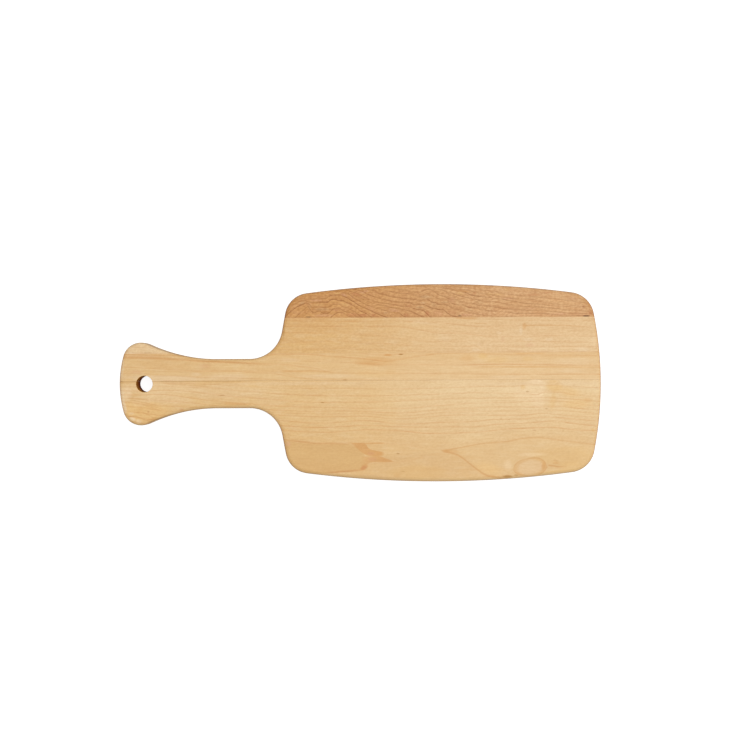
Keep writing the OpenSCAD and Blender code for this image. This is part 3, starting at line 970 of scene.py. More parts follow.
upperWood = {
    **paleMaple,
    "seed": 11.2, "lean": -0.3, "waver": 0.7,
    "leftGround": colour(233, 192, 129), "rightGround": colour(243, 212, 165), "tonePixels": (300, 520),
    "bandColour": colour(223, 178, 120), "bands": [(0, 0.2), (2, 0.05), (5, 0.0), (6, 0.1)],
    "cloudColour": colour(225, 180, 122), "mottleColour": colour(242, 214, 168),
    "lineColour": colour(212, 148, 84), "lineInk": 0.88, "pores": 0.34,
    "ringLines": [
        ([(100, 300), (285, 310), (440, 316.5), (480, 319), (610, 321)], 0.25),
        ([(100, 308), (285, 320.5), (363, 321.3), (400, 321), (440, 323), (470, 326), (487, 327),
          (525, 325.6), (560, 325.4), (591, 327), (610, 327)],
         [(283, 0.4), (330, 0.45), (337, 0.2), (345, 0.5), (360, 0.5), (370, 0.2), (400, 0.25), (440, 0.3),
          (475, 0.4), (488, 0.4), (500, 0.2), (523, 0.2)]),
        ([(100, 318), (285, 326), (330, 326.5), (380, 326.3), (400, 327), (415, 329), (430, 332),
          (440, 333.3), (460, 333.3), (480, 335.5), (500, 336.5), (560, 336), (610, 336.5)],
         [(285, 0.4), (340, 0.45), (352, 0.3), (380, 0.45), (430, 0.4), (470, 0.35), (610, 0.25)]),
        ([(100, 325), (285, 332.5), (330, 333.3), (370, 335), (400, 338.5), (430, 341.5), (480, 341),
          (560, 342), (610, 343)], [(285, 0.4), (315, 0.4), (330, 0.2), (480, 0.2), (610, 0.2)]),
        ([(100, 332), (285, 343), (345, 341.5), (372, 343.3), (385, 344), (415, 346), (480, 346.5),
          (560, 346.5), (610, 347)], 0.25),
        ([(100, 345.5), (160, 348.5), (285, 349.7), (340, 349), (370, 350), (430, 351.5), (493, 351.5),
          (610, 352)], [(284, 0.2), (480, 0.2), (500, 0.35), (600, 0.3)]),
        ([(100, 352), (160, 354), (285, 357), (610, 358)], 0.3),
    ],
    "strokes": [
        ([(524, 325.8), (540, 325.3), (560, 325.4), (591, 327)], 1,
         [(522, 0), (526, 0.6), (550, 0.45), (575, 0.3), (592, 0.1), (594, 0)], "grain"),
        ([(456, 317.8), (466, 318.4), (478, 317.8)], 1.8, [(454, 0), (458, 0.55), (474, 0.5), (479, 0)],
         "orange"),
        ([(472, 323.5), (487, 323.2)], 0.8, [(473, 0), (476, 0.5), (485, 0.5), (488, 0)], "grain"),
        ([(283, 318.6), (330, 318.6), (352, 317.8)], 2.4,
         [(283, 0.6), (300, 0.6), (318, 0.4), (345, 0.15), (352, 0)], "grain"),
    ],
    "patches": [
        ((143, 349), (60, 30), 0, 0.9, 1, "pale"), ((143, 349), (60, 30), 0, 0.9, 0.35, "white"),
        ((130.5, 353), (5, 1.8), 0, 0.3, 0.5, "white"), ((147.5, 353), (4.5, 2.5), 0, 0.3, 0.35, "sage"),
        ((155, 347), (7, 4), -20, 0.2, 0.3, "white"), ((308, 317.8), (4, 0.9), 0, 0.3, 0.6, "brown"),
        ((315, 326), (46, 9), 0, 0.3, 0.4, "tan"), ((352, 321), (9, 1.5), 0, 0.2, 0.4, "amber"),
        ((300, 346), (18, 4), 0, 0.2, 0.3, "golden"), ((354, 337), (9, 9), 0, 0.2, 0.25, "pale"),
        ((394, 341), (9, 5), 0, 0.2, 0.14, "white"), ((415, 344), (5, 6), 0, 0.2, 0.3, "pale"),
        ((445, 338), (10, 6), 0, 0.2, 0.25, "white"), ((420, 322), (20, 2.5), -8, 0.2, 0.3, "white"),
        ((410, 321.6), (5, 1.2), 0, 0.2, 0.35, "orange"), ((524.5, 325.8), (3, 5), 0, 0.3, 0.5, "orange"),
        ((521, 331), (2.2, 5), 0, 0.3, 0.8, "white"), ((283.5, 330), (2, 14), 0, 0.3, 0.25, "brown"),
        ((528, 339.5), (7, 2.2), 0, 0.3, 0.5, "white"), ((549, 339.5), (6, 2), 0, 0.3, 0.5, "white"),
        ((499, 333), (4, 3), 0, 0.2, 0.4, "white"), ((476, 350), (6, 2), 0, 0.3, 0.55, "white"),
        ((583, 349.5), (11, 2.6), 0, 0.3, 0.5, "white"), ((530, 345), (6, 3), 0, 0.2, 0.3, "pink"),
        ((481.5, 342.5), (5, 3), 20, 0.2, 0.15, "brown"), ((479, 344.5), (3, 1.2), 0, 0.2, 0.4, "white"),
        # The narrow cream strip along the right end is a painted highlight on the round-over
        ((593.6, 341), (4, 10), 0, 0.2, 0.3, "cream"), ((503, 339), (3, 5), 0, 0.2, 0.2, "pink"),
    ],
}

centreWood = {
    **paleMaple,
    "seed": 23.9, "lean": 0.22, "waver": 0.6,
    "leftGround": colour(238, 203, 147), "rightGround": colour(244, 213, 165), "tonePixels": (250, 500),
    "bandColour": colour(230, 186, 120),
    "bands": [(0, 0.35), (1, 0.4), (2, 0.2), (3, 0.2), (4, 0.05), (5, 0.0)],
    "cloudColour": colour(231, 189, 131), "mottleColour": colour(244, 216, 168),
    "lineColour": colour(214, 148, 82), "lineInk": 0.88, "pores": 0.18,
    "ringLines": [
        ([(100, 349), (280, 349.5), (300, 350.5), (330, 352.5), (363, 354), (384, 355), (400, 354.2),
          (409, 352.5), (425, 349), (470, 349), (610, 350)], [(355, 0), (365, 0.3), (400, 0.3), (412, 0)]),
        ([(100, 353.5), (205, 356), (262, 355.5), (280, 354.3), (313, 354.6), (327, 356.3), (349, 357.5),
          (363, 358.8), (376, 360.4), (386, 361.3), (397, 360), (409, 358), (425, 355.3), (450, 353.5),
          (480, 354), (610, 356)],
         [(280, 0.55), (350, 0.5), (375, 0.55), (425, 0.45), (470, 0.2), (520, 0.3), (610, 0.3)]),
        ([(100, 355.8), (205, 359), (262, 360), (300, 361), (345, 362.5), (375, 364.2), (390, 365),
          (420, 364.8), (464, 365), (500, 364.3), (530, 364.8), (610, 365.5)],
         [(120, 0.3), (290, 0.2), (350, 0.3), (460, 0.3), (478, 0.6), (530, 0.6), (565, 0.55), (600, 0.4)]),
        ([(100, 357.3), (150, 358.2), (180, 360), (205, 361.2), (225, 362), (247, 363.7), (270, 364.3),
          (290, 365.3), (300, 366.7), (313, 368), (328, 371.7), (338, 373), (388, 373.3), (440, 373.8),
          (503, 374.2), (610, 374.2)],
         [(120, 0.5), (170, 0.6), (200, 0.3), (270, 0.3), (290, 0.45), (325, 0.4), (345, 0.3), (500, 0.3),
          (510, 0.5), (600, 0.5)]),
        ([(100, 366), (150, 368.5), (175, 370), (200, 371), (232, 371.3), (247, 372.3), (262, 373),
          (272, 373.5), (285, 375.5), (300, 378), (320, 379.5), (610, 380.5)],
         [(120, 0.35), (215, 0.4), (270, 0.3), (300, 0.3)]),
        ([(100, 372.5), (160, 375), (190, 377), (232, 378), (262, 379), (285, 380.5), (300, 382),
          (610, 386)], 0.3),
    ],
    "strokes": [
        ([(122, 356), (150, 356.2), (166, 357)], 2, [(122, 0.15), (128, 0.22), (155, 0.2), (167, 0)],
         "rose"),
        ([(122, 358), (150, 358.2), (170, 359), (185, 360), (200, 361), (225, 362), (247, 363),
          (262, 363.8)], 1.8,
         [(122, 0.4), (130, 0.7), (160, 0.8), (180, 0.5), (200, 0.9), (235, 1), (255, 0.4), (263, 0)],
         "grain"),
        ([(280, 371), (300, 371.2), (313, 370.8), (328, 372)], 1.5,
         [(279, 0.2), (285, 0.6), (310, 0.55), (325, 0.35), (329, 0)], "orange"),
        ([(478, 366.8), (530, 366.8), (600, 367.2)], 1.3,
         [(476, 0), (482, 0.4), (525, 0.55), (565, 0.45), (600, 0.3)], "amber"),
        ([(514, 353.2), (548, 353.4)], 1.2, [(512, 0), (518, 0.5), (540, 0.45), (550, 0)], "amber"),
    ],
    "patches": [
        ((388, 355), (6, 1.4), 0, 0.3, 1, "orange"), ((400.8, 354.3), (3.4, 1), 0, 0.3, 1, "brown"),
        ((373, 364), (22, 3.2), -3, 0.2, 0.35, "orange"), ((374, 361), (30, 6), 0, 0.4, 0.38, "amber"),
        ((374, 372), (30, 7), 0, 0.4, 0.2, "golden"), ((483, 356), (7, 4.5), 0, 0.2, 0.55, "golden"),
        ((497, 360), (18, 5), 0, 0.3, 0.3, "golden"), ((467, 358), (12, 5), 0, 0.2, 0.35, "amber"),
        ((205, 366), (9, 3.5), 0, 0.2, 0.3, "rose"), ((160, 365), (40, 6), -4, 0.3, 0.25, "tan"),
        ((196, 374.5), (8, 2.5), 0, 0.3, 0.4, "white"), ((165, 378.5), (55, 4), -1, 0.5, 0.5, "white"),
        ((330, 376), (40, 3), 0, 0.3, 0.35, "white"), ((290, 360), (14, 3), 0, 0.2, 0.3, "white"),
        ((375, 369), (25, 3), 0, 0.2, 0.15, "white"), ((506, 377), (28, 2.2), 0, 0.3, 0.35, "white"),
        ((528, 359), (8, 3), 0, 0.2, 0.35, "golden"), ((572, 371), (20, 2.5), 0, 0.2, 0.3, "white"),
        ((345, 380), (3, 1), 0, 0.3, 0.7, "brown"), ((136, 372), (9, 3), 0, 0.2, 0.3, "pink"),
        ((228, 377), (32, 4.5), 0, 0.3, 0.4, "white"), ((258, 366), (22, 6), 0, 0.4, 0.14, "tan"),
        ((574, 361), (30, 5), 0, 0.3, 0.3, "white"), ((130, 380), (7, 3), 0, 0.3, 0.3, "honey"),
        # The narrow cream strip along the handle's end is a painted highlight on the round-over
        ((168, 381), (8, 1), 0, 0.2, 0.3, "rose"), ((122, 369), (2.6, 14), -4, 0.4, 0.55, "cream"),
    ],
}

wideWood = {
    **paleMaple,
    "seed": 31.5, "lean": -0.36, "waver": 0.6, "calmFrom": 9.5,
    "leftGround": colour(238, 202, 143), "rightGround": colour(246, 219, 172), "tonePixels": (250, 500),
    "bandColour": colour(230, 188, 126), "bands": [(0, 0.0), (6, 0.15), (9, 0.3), (10, 0.5), (11, 0.65)],
    "cloudColour": colour(231, 189, 130), "mottleColour": colour(244, 216, 170),
    "lineColour": colour(216, 150, 86), "pores": 0.26,
    "lineInk": [(280, 1), (400, 0.95), (480, 0.78), (600, 0.85)],
    "ringLines": [
        ([(100, 383), (160, 383.5), (200, 384), (235, 386), (260, 387.3), (282, 388.3), (340, 388.6),
          (400, 389), (440, 388), (480, 386.7), (515, 386.3), (530, 385), (560, 386), (610, 388.5)],
         [(120, 0.1), (160, 0.1), (166, 0.4), (215, 0.4), (230, 0.2), (282, 0.25), (480, 0.3), (610, 0.3)]),
        ([(100, 387), (155, 386.7), (190, 387.2), (215, 388.5), (240, 391), (258, 392), (275, 393.7),
          (290, 394.5), (310, 395.5), (375, 396), (430, 394.5), (482, 393), (515, 393.8), (526, 393.5),
          (536, 395), (543, 392.5), (552, 392), (575, 395), (610, 398)],
         [(120, 0.15), (260, 0.25), (285, 0.45), (320, 0.45), (370, 0.35), (500, 0.35), (528, 0.3),
          (532, 0.6), (539, 0.5), (545, 0.25), (610, 0.3)]),
        ([(100, 391), (150, 391), (175, 390.5), (190, 391.7), (208, 393.9), (224, 395.8), (250, 398),
          (262, 398.7), (280, 400.2), (292, 401.3), (322, 402.5), (380, 402), (430, 399.7), (475, 398.3),
          (505, 398), (540, 397.8), (560, 398.5), (610, 402.5)], 0.36),
        ([(100, 395), (140, 395), (160, 394.5), (175, 396), (200, 399.3), (225, 402), (240, 403.7),
          (255, 404.6), (272, 405.8), (285, 406.3), (320, 407.5), (400, 408.5), (440, 405.5), (480, 403),
          (510, 402.5), (540, 401), (560, 401.2), (575, 403), (590, 405.5), (610, 406.5)], 0.34),
        ([(100, 398), (140, 399), (165, 401), (185, 402.4), (212, 405.5), (230, 407.5), (260, 409.3),
          (285, 410.5), (310, 411.7), (340, 410.8), (400, 413), (440, 410), (480, 407.8), (520, 407),
          (545, 407), (560, 406.5), (575, 408), (610, 411)],
         [(120, 0.3), (285, 0.35), (480, 0.35), (550, 0.35), (560, 0.5), (600, 0.4)]),
        ([(100, 401), (140, 403.3), (165, 406), (212, 408.5), (262, 411.8), (285, 413), (330, 414.3),
          (360, 413.6), (400, 416), (440, 413), (480, 411.5), (520, 411), (560, 411), (610, 414.5)], 0.25),
        ([(100, 404), (140, 407.7), (165, 411), (212, 412.5), (262, 414.2), (285, 415.6), (330, 417),
          (360, 416.2), (400, 419), (440, 416), (460, 415), (520, 415.5), (545, 413.6), (560, 415),
          (610, 418.5)], 0.34),
        ([(100, 408), (140, 413), (165, 416), (262, 419.3), (282, 420.7), (320, 423.3), (365, 420.8),
          (405, 424.3), (440, 422.5), (470, 422), (495, 419.5), (520, 419), (545, 417.5), (560, 417.8),
          (590, 420.5), (610, 422)], 0.4),
        ([(100, 412), (140, 418), (165, 421), (262, 424.5), (282, 426), (325, 427.5), (365, 425.5),
          (400, 427), (432, 427), (465, 427), (480, 426.5), (495, 424.5), (515, 423.8), (535, 422.5),
          (553, 421), (570, 423), (596, 426), (610, 427)],
         [(280, 0.5), (400, 0.45), (470, 0.45), (550, 0.45), (565, 0.55), (600, 0.5)]),
        ([(100, 418), (165, 426), (262, 430), (285, 430.8), (325, 432.5), (365, 430), (400, 431),
          (432, 433.5), (460, 433), (480, 432), (490, 431), (505, 429.2), (525, 428.3), (550, 427.5),
          (562, 428.5), (575, 430), (610, 431)],
         [(280, 0.4), (370, 0.45), (420, 0.5), (440, 0.6), (540, 0.6), (562, 0.5), (610, 0.35)]),
        ([(100, 426), (262, 438), (285, 440), (300, 442), (320, 443.5), (335, 443), (352, 443.2),
          (384, 443.5), (410, 446), (430, 449.5), (442, 450.5), (460, 447.7), (480, 444), (500, 442),
          (520, 438.5), (537, 437.8), (550, 438.8), (570, 441.5), (590, 444), (610, 446)],
         [(386, 0.2), (400, 0.1), (430, 0.1), (441, 0)]),
        ([(100, 445), (262, 470), (285, 475), (330, 473), (345, 471.5), (361, 470), (372, 464.5),
          (390, 463), (400, 462), (420, 458), (442, 453), (455, 455), (460, 457), (470, 464), (478, 470),
          (485, 475), (500, 480), (610, 492)], [(398, 0.15), (440, 0.1), (442, 0)]),
    ],
    "areas": [
        {"upper": [(280, 440.5), (300, 443), (320, 444), (335, 443.8), (350, 444.8), (357, 447.5),
                  (362, 452), (366, 457)],
         "lower": [(280, 476), (330, 473.5), (345, 471.5), (360, 470.3), (366, 464)],
         "ink": [(270, 0), (284, 0.72), (350, 0.82), (362, 0.82), (368, 0)],
         "soft": 1.2, "shade": "heart"},
        {"upper": [(350, 443.2), (362, 443.2), (366, 444.6), (368.5, 448), (374, 450.3), (383, 452)],
         "lower": [(350, 444.6), (354, 446), (358, 449), (362, 452.5), (368, 455.5), (376, 456.2),
                  (383, 455.6)],
         "ink": [(351, 0), (355, 0.8), (370, 0.85), (381, 0.98), (384.5, 0)],
         "soft": 1.2, "shade": "orange"},
        {"upper": [(360, 457), (370, 456.4), (376, 455.8), (380, 456.4), (386, 458.4), (394, 461.2)],
         "lower": [(360, 467), (366, 465), (370, 463), (377, 462.2), (385, 462.2), (394, 461.8)],
         "ink": [(360, 0), (366, 0.6), (376, 0.75), (382, 0.96), (391, 1), (395, 0)],
         "soft": 1.2, "shade": "orange"},
        {"upper": [(440, 450), (447, 450), (460, 447.7), (480, 444), (500, 442), (510, 441), (520, 438.7),
                  (537, 437.8), (550, 438.8), (570, 441.5), (590, 444), (600, 446)],
         "lower": [(440, 450.8), (455, 454), (460, 456.3), (470, 464), (478, 470), (485, 475), (500, 480),
                  (600, 492)],
         "ink": [(441, 0), (446, 0.35), (460, 0.1), (480, 0.02), (600, 0)],
         "soft": 1.5, "shade": "heart"},
        {"upper": [(513, 469.5), (514.5, 465.5), (519, 461.3), (526, 459), (535, 457.8), (541, 459.2),
                  (545.5, 463), (547, 467)],
         "lower": [(513, 469.5), (516, 473), (522, 475.5), (530, 476), (538, 475), (544, 471.5),
                  (547, 467)],
         "ink": [(512.5, 0), (514, 0.42), (520, 0.26), (530, 0.16), (539, 0.3), (542, 0.5), (546, 0.6),
                  (547.5, 0)],
         "soft": 1.2, "shade": "orange"},
    ],
    "strokes": [
        ([(281, 440), (300, 441.7), (320, 443.5), (335, 443.3), (345, 444)], 1.3,
         [(280, 0.4), (287, 0.6), (300, 0.9), (320, 0.8), (336, 0.7), (344, 0.5), (350, 0)], "grain"),
        ([(352, 443.6), (366, 443.4), (384, 443)], 1.1,
         [(350, 0), (354, 0.7), (372, 0.7), (382, 0.8), (385, 0)], "orange"),
        ([(325, 472.9), (345, 471.3), (361, 470.2)], 1.6,
         [(324, 0), (332, 0.7), (345, 0.9), (358, 0.8), (362, 0)], "grain"),
        ([(325, 472.9), (345, 471.3), (361, 470.4)], 1.1, [(324, 0), (335, 0.2), (348, 0.28), (361, 0)],
         "rust"),
        ([(440, 450.5), (447, 450), (460, 447.7), (480, 444), (500, 442), (510, 441), (520, 438.7),
          (537, 437.8), (550, 438.8), (570, 441.5), (590, 444), (600, 446)], 1,
         [(440, 0), (443, 0.9), (455, 0.7), (480, 0.5), (520, 0.6), (560, 0.42), (598, 0.4), (600, 0)],
         "grain"),
        ([(440, 450.8), (455, 454), (460, 456.3), (470, 464), (478, 470), (485, 474.6), (500, 478.3)], 1.6,
         [(441, 0), (444, 0.9), (458, 0.8), (480, 0.75), (500, 0.8), (505, 0)], "grain"),
        ([(444, 450.6), (458, 451.6)], 2.2, [(442, 0), (446, 0.6), (456, 0.4), (460, 0)], "orange"),
        ([(513, 469.5), (514.5, 465.5), (519, 461.3), (526, 459), (535, 457.8), (541, 459.2), (545.5, 463),
          (547, 467)], 1.2, [(512.5, 0), (513.5, 0.6), (520, 0.45), (530, 0.5), (546.5, 0.8), (547.5, 0)],
         "grain"),
        ([(513, 469.5), (516, 473), (522, 475.5), (530, 476), (538, 475), (544, 471.5), (547, 467)], 1.2,
         [(512.5, 0), (513.5, 0.7), (522, 0.6), (534, 0.4), (540, 0.6), (546.5, 0.8), (547.5, 0)], "grain"),
        ([(547, 464.8), (558, 466.6), (567, 467)], 1.3, [(546, 0), (549, 0.9), (558, 0.9), (567, 0)],
         "grain"),
        ([(165, 384), (200, 386), (216, 387.6)], 0.9, [(163, 0), (168, 0.4), (205, 0.4), (218, 0)],
         "grain"),
        ([(100, 382.3), (170, 381.6), (210, 381.4), (255, 380.7), (285, 380.4), (610, 379.8)], 0.8,
         [(118, 0.3), (157, 0.2), (161, 0.4), (172, 0.35), (200, 0.4), (212, 0.3), (220, 0.4), (242, 0.35),
          (256, 0.2), (275, 0), (600, 0)], "brown"),
        ([(222, 403.4), (250, 404.6)], 2.2, [(220, 0), (226, 0.5), (245, 0.5), (252, 0)], "orange"),
        ([(146, 423.8), (160, 418.4), (170, 415), (188, 410.8)], 1,
         [(145, 0), (149, 0.55), (162, 0.5), (172, 0.2), (180, 0)], "brown"),
        ([(127, 398.2), (136, 398.7), (151, 400.6)], 0.8, [(126, 0), (129, 0.5), (147, 0.45), (152, 0)],
         "grain"),
        ([(130, 400.3), (137, 401.2), (147, 403.4), (161, 406.8)], 0.8,
         [(129, 0), (133, 0.55), (145, 0.5), (158, 0.45), (162, 0)], "grain"),
        ([(132, 402.8), (147, 405), (153, 406.4), (162, 409)], 0.8,
         [(131, 0), (135, 0.5), (150, 0.55), (160, 0.4), (163, 0)], "grain"),
        ([(142, 404.6), (150, 407), (161, 411)], 0.8, [(141, 0), (145, 0.5), (158, 0.4), (162, 0)],
         "grain"),
        ([(143, 412.6), (151, 416.2)], 0.9, [(142, 0), (144, 0.6), (149, 0.5), (152, 0)], "orange"),
        ([(128, 416.3), (136, 416.5), (141, 418.4), (150, 421.8)], 0.9,
         [(127, 0), (130, 0.6), (147, 0.6), (151, 0)], "grain"),
    ],
    "patches": [
        ((322.5, 402.5), (3, 0.9), 0, 0.2, 0.85, "brown"), ((355, 402), (2.2, 0.8), 0, 0.2, 0.4, "brown"),
        ((398, 453.6), (2.6, 0.9), 0, 0.2, 0.8, "brown"), ((403, 471.5), (2.8, 1), 0, 0.2, 0.8, "brown"),
        ((222, 395.5), (4.6, 0.9), -4, 0.2, 0.8, "brown"),
        ((527.5, 391.4), (2.4, 1), 0, 0.3, 0.85, "brown"), ((546.5, 408.5), (2, 1), 0, 0.3, 0.4, "brown"),
        ((501, 419), (1.6, 0.8), 0, 0.2, 0.35, "brown"), ((509, 419.5), (1.6, 0.8), 0, 0.2, 0.35, "brown"),
        ((534.5, 430.3), (2.2, 0.9), 0, 0.2, 0.35, "rust"), ((563, 431), (1.6, 0.8), 0, 0.2, 0.3, "brown"),
        ((426, 427), (2, 0.8), 0, 0.2, 0.3, "brown"), ((536, 381.8), (9, 3), 0, 0.5, 0.8, "cream"),
        ((530, 391), (24, 12), 8, 0.3, 0.42, "cream"), ((538, 401), (10, 10), 0, 0.4, 0.5, "cream"),
        ((541.5, 390), (3.6, 9), -6, 0.3, 0.5, "cream"), ((554, 386), (11, 8), -10, 0.4, 0.6, "golden"),
        ((553, 401), (5, 14), -8, 0.2, 0.35, "golden"), ((568, 391), (17, 7), -14, 0.3, 0.4, "honey"),
        ((576, 404), (20, 7), 0, 0.3, 0.4, "honey"), ((372, 410), (34, 34), 0, 0.5, 0.15, "golden"),
        ((572, 467), (20, 7), 0, 0.4, 0.38, "golden"), ((523, 387), (4, 4), 0, 0.2, 0.5, "golden"),
        ((588, 400), (6, 3), 0, 0.3, 0.35, "orange"), ((593, 430), (2.6, 2.2), 0, 0.3, 0.6, "golden"),
        ((371, 453.5), (5, 2.5), 0, 0.3, 0.4, "rose"), ((372.5, 459.3), (6, 2.6), 0, 0.4, 0.4, "rose"),
        ((364, 467.5), (6, 3.4), 35, 0.4, 0.85, "orange"),
        ((363.6, 467.8), (5.2, 2.8), 35, 0.2, 0.5, "red"), ((397, 475), (5, 3.5), 0, 0.2, 0.4, "orange"),
        ((417, 472), (38, 9), 0, 0.5, 0.46, "golden"), ((420, 466), (62, 20), 0, 0.5, 0.2, "sage"),
        ((372, 477.5), (60, 3.4), -4, 0.4, 0.3, "sage"), ((562, 456), (42, 12), 0, 0.5, 0.36, "golden"),
        ((530, 458), (70, 20), 0, 0.5, 0.12, "sage"), ((578, 403), (32, 20), 0, 0.5, 0.14, "golden"),
        ((420, 430), (60, 24), 0, 0.5, 0.07, "tan"), ((288, 444), (4, 4), 0, 0.2, 0.4, "pink"),
        ((530.4, 467.4), (14.6, 8.2), 10, 0.74, 0.34, "white"),
        ((543.6, 465.6), (2.8, 5.6), -15, 0.3, 0.55, "orange"),
        ((508, 465), (6.5, 8), 0, 0.1, 0.42, "cream"), ((532, 454.5), (20, 3), 2, 0.2, 0.35, "cream"),
        ((488, 468.5), (20, 9), -15, 0.2, 0.42, "honey"),
        ((507.5, 476.8), (7.5, 2.4), 0, 0.3, 0.7, "brown"),
        ((507.5, 476.2), (3.5, 1.3), 0, 0.3, 0.08, "darkBrown"),
        ((490, 476.5), (9, 1.5), 0, 0.3, 0.5, "orange"), ((516, 475.5), (3.5, 1.6), 0, 0.3, 0.4, "brown"),
        ((555.5, 460.3), (3.5, 1), 0, 0.3, 0.5, "grain"), ((556, 463), (5, 2), 0, 0.2, 0.4, "orange"),
        ((556, 471.5), (16, 1.8), 5, 0.3, 0.5, "golden"), ((144, 412), (34, 14), -8, 0.5, 0.7, "honey"),
        ((168, 399), (34, 7), -6, 0.4, 0.36, "cream"), ((222, 392), (50, 9), 0, 0.5, 0.3, "white"),
        ((158, 388), (52, 9), 0, 0.4, 0.38, "cream"), ((127, 394), (7, 10), 0, 0.3, 0.6, "cream"),
        # The two narrow cream strips along the handle's end are painted highlight on the round-over
        ((122.6, 398), (2.6, 14), 3, 0.4, 0.8, "cream"), ((124.5, 408), (3, 9), 8, 0.3, 0.8, "cream"),
        ((268, 395), (24, 15), 0, 0.4, 0.18, "white"), ((140, 410), (4.4, 7.5), 0, 0.3, 0.24, "amber"),
        ((142, 401), (14, 7), 12, 0.5, 0.2, "cream"), ((139, 399), (5, 1.3), 0, 0.2, 0.3, "golden"),
        ((148.5, 412), (1.8, 1), 0, 0.2, 0.55, "rust"), ((131.5, 413.5), (4, 1.8), 0, 0.2, 0.5, "cream"),
        ((132.5, 419), (4.8, 2.8), -20, 0.3, 0.85, "cream"),
        ((138.5, 421.4), (4.4, 2.8), -10, 0.3, 0.62, "cream"),
        ((181.8, 409.9), (3.4, 2.2), 0, 0.3, 0.36, "red"), ((152, 419), (9, 2.4), 20, 0.3, 0.35, "orange"),
        ((300, 383.5), (110, 2.4), 0, 0.4, 0.3, "white"), ((540, 383.5), (100, 2.4), 0, 0.4, 0.3, "white"),
    ],
}


# Cured glue between the staves: the dark film along the middle, and the pale ones, each as a
# plain and a darker colour that take turns along the joint
glue = {
    "darkFilm": (colour(164, 116, 64), colour(118, 74, 36)),
    "paleFilm": (colour(214, 166, 110), colour(196, 144, 88)),
    "scales": (0.22, 0.0, 0.3),
    "detail": 3.0,
    "range": (0.4, 0.65),
    "roughness": 0.4,
    "darkRoughness": 0.15,
    "bumpStrength": 0.2,
    "bumpDistance": 0.05 * mm,
}


def glueFinish(name, film):
    tree, shader, material = newMaterial(name)
    flow = useGroup(tree, "flow", {"Lean": 0.0, "Waver": 0.0})
    spot = scaledSpot(tree, (flow["Along"], flow["Across"], flow["Depth"]), glue["scales"])
    dark = ramp(tree, noise(tree, spot, glue["detail"]), *glue["range"])
    tree.links.new(mixColour(tree, dark, *glue[film]), shader.inputs["Base Color"])
    rough = calc(tree, "MULTIPLY_ADD", dark, glue["darkRoughness"], glue["roughness"])
    tree.links.new(rough, shader.inputs["Roughness"])
    addBump(tree, shader, dark, glue)
    return material


finishes = {
    "heartwood": staveFinish("heartwoodMaple", heartwood),
    "upper": staveFinish("upperMaple", upperWood),
    "centre": staveFinish("centreMaple", centreWood),
    "wide": staveFinish("wideMaple", wideWood),
    "darkGlue": glueFinish("darkGlue", "darkFilm"),
    "paleGlue": glueFinish("paleGlue", "paleFilm"),
}
print("finishes built")


# Joint planes on both sides of a CAD node, read from its box
def jointPlanes(node):
    low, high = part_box(node)
    return low.y, high.y


# Each piece: its name, CAD node, slot and finish, the cutter where the hole meets it, and the
# side of the neck where only one end is left. The ear and the upper stave are the two ends of
# one strip, so both are cut along the planes of the stave.
def addBoard():
    cutter = holeCutter()
    pieces = [
        ("heartwoodStave", "heartwood_stave", "heartwood_maple", "heartwood", None, 0),
        ("upperStave", "upper_stave", "upper_maple", "upper", None, 1),
        ("handleEar", "handle_ear", "upper_maple", "upper", None, -1),
        ("centreStave", "centre_stave", "centre_maple", "centre", cutter, 0),
        ("wideStave", "wide_stave", "wide_maple", "wide", cutter, 0),
        ("heartwoodGlue", "heartwood_glue_film", "wood_glue", "paleGlue", None, 0),
        ("upperGlue", "upper_glue_film", "wood_glue", "paleGlue", None, 1),
        ("earGlue", "ear_glue_film", "wood_glue", "paleGlue", None, -1),
        ("centreGlue", "centre_glue_film", "wood_glue", "darkGlue", cutter, 0),
    ]
    for name, node, slot, finish, drill, side in pieces:
        planes = jointPlanes("upper_stave" if node == "handle_ear" else node)
        addStave(name, node, finishes[finish], drill, planes, side)
        print(name, "made")
    bpy.data.objects.remove(cutter)


addBoard()


# Stage: a white floor that keeps a soft shadow, and plain soft light from above. The floor
# shows one brightness and lights the board with another, and so does the room.

stage = {
    "floorSize": 8.0,
    "floorDrop": 0.2 * mm,
    "floorColour": 0.8,
    "floorRoughness": 0.9,
    "floorGlow": 0.88,
    "floorShade": 0.4,
    "worldLight": 0.35,
    "softboxSize": 2.2,
    "softboxPlace": (0.5, 0.35, 2.15),
    "softboxPower": 39.0,
}


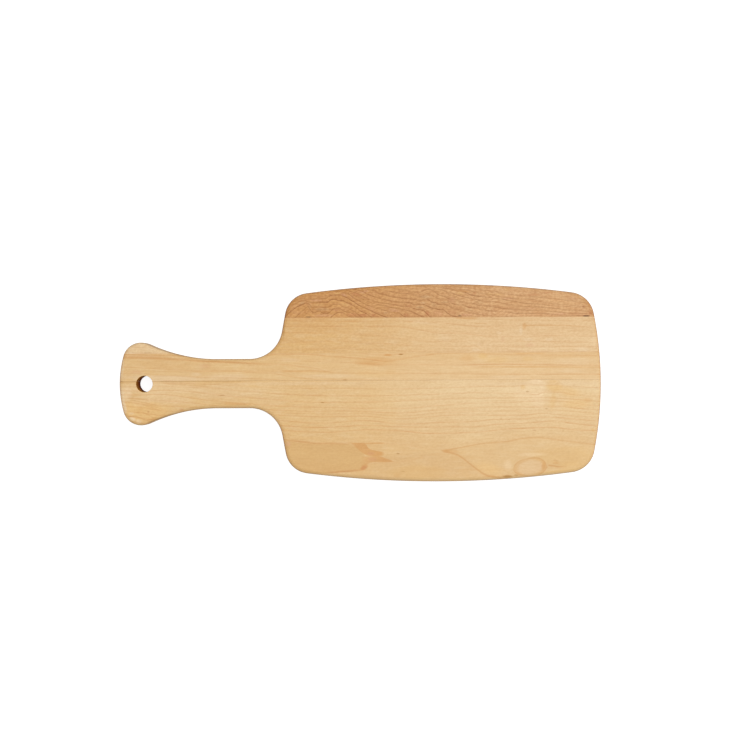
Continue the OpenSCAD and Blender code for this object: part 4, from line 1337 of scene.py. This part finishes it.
# 1 for camera rays and the kinds named, 0 for the rays that only bring light
def seenBy(tree, kinds):
    rays = addNode(tree, "ShaderNodeLightPath").outputs
    seen = rays["Is Camera Ray"]
    for kind in kinds:
        seen = calc(tree, "MAXIMUM", seen, rays[kind])
    return seen


def addFloor():
    shell = bmesh.new()
    half = stage["floorSize"] / 2
    corners = [(-half, -half), (half, -half), (half, half), (-half, half)]
    shell.faces.new([shell.verts.new((x, y, -stage["floorDrop"])) for x, y in corners])
    floor = addObject("studioFloor", shell)
    tree, shader, material = newMaterial("whiteFloor")
    shader.inputs["Base Color"].default_value = (stage["floorColour"],) * 3 + (1,)
    shader.inputs["Roughness"].default_value = stage["floorRoughness"]
    shader.inputs["Specular IOR Level"].default_value = 0.0
    shade = addNode(tree, "ShaderNodeBsdfDiffuse", {"Color": (stage["floorShade"],) * 3 + (1,)})
    glow = addNode(tree, "ShaderNodeEmission", {"Strength": stage["floorGlow"]})
    lit = addNode(tree, "ShaderNodeAddShader", {0: shade.outputs[0], 1: glow.outputs[0]})
    seen = seenBy(tree, ["Is Glossy Ray", "Is Transmission Ray"])
    mixed = addNode(tree, "ShaderNodeMixShader", {0: seen, 1: shader.outputs[0], 2: lit.outputs[0]})
    tree.links.new(mixed.outputs[0], tree.nodes["Material Output"].inputs["Surface"])
    floor.data.materials.append(material)


def addLight():
    world = bpy.data.worlds.new("softRoom")
    world.use_nodes = True
    bpy.context.scene.world = world
    tree = world.node_tree
    sky = tree.nodes["Background"]
    sky.inputs["Color"].default_value = (1, 1, 1, 1)
    seen = seenBy(tree, ["Is Glossy Ray"])
    level = calc(tree, "MULTIPLY_ADD", seen, 1 - stage["worldLight"], stage["worldLight"])
    tree.links.new(level, sky.inputs["Strength"])
    data = bpy.data.lights.new("softbox", "AREA")
    data.size = stage["softboxSize"]
    data.energy = stage["softboxPower"]
    lamp = bpy.data.objects.new("softbox", data)
    lamp.location = stage["softboxPlace"]
    aim = -Vector(stage["softboxPlace"])
    lamp.rotation_euler = aim.to_track_quat("-Z", "Y").to_euler()
    bpy.context.scene.collection.objects.link(lamp)


addFloor()
addLight()
bpy.context.scene.view_settings.view_transform = "Standard"
print("stage lit")
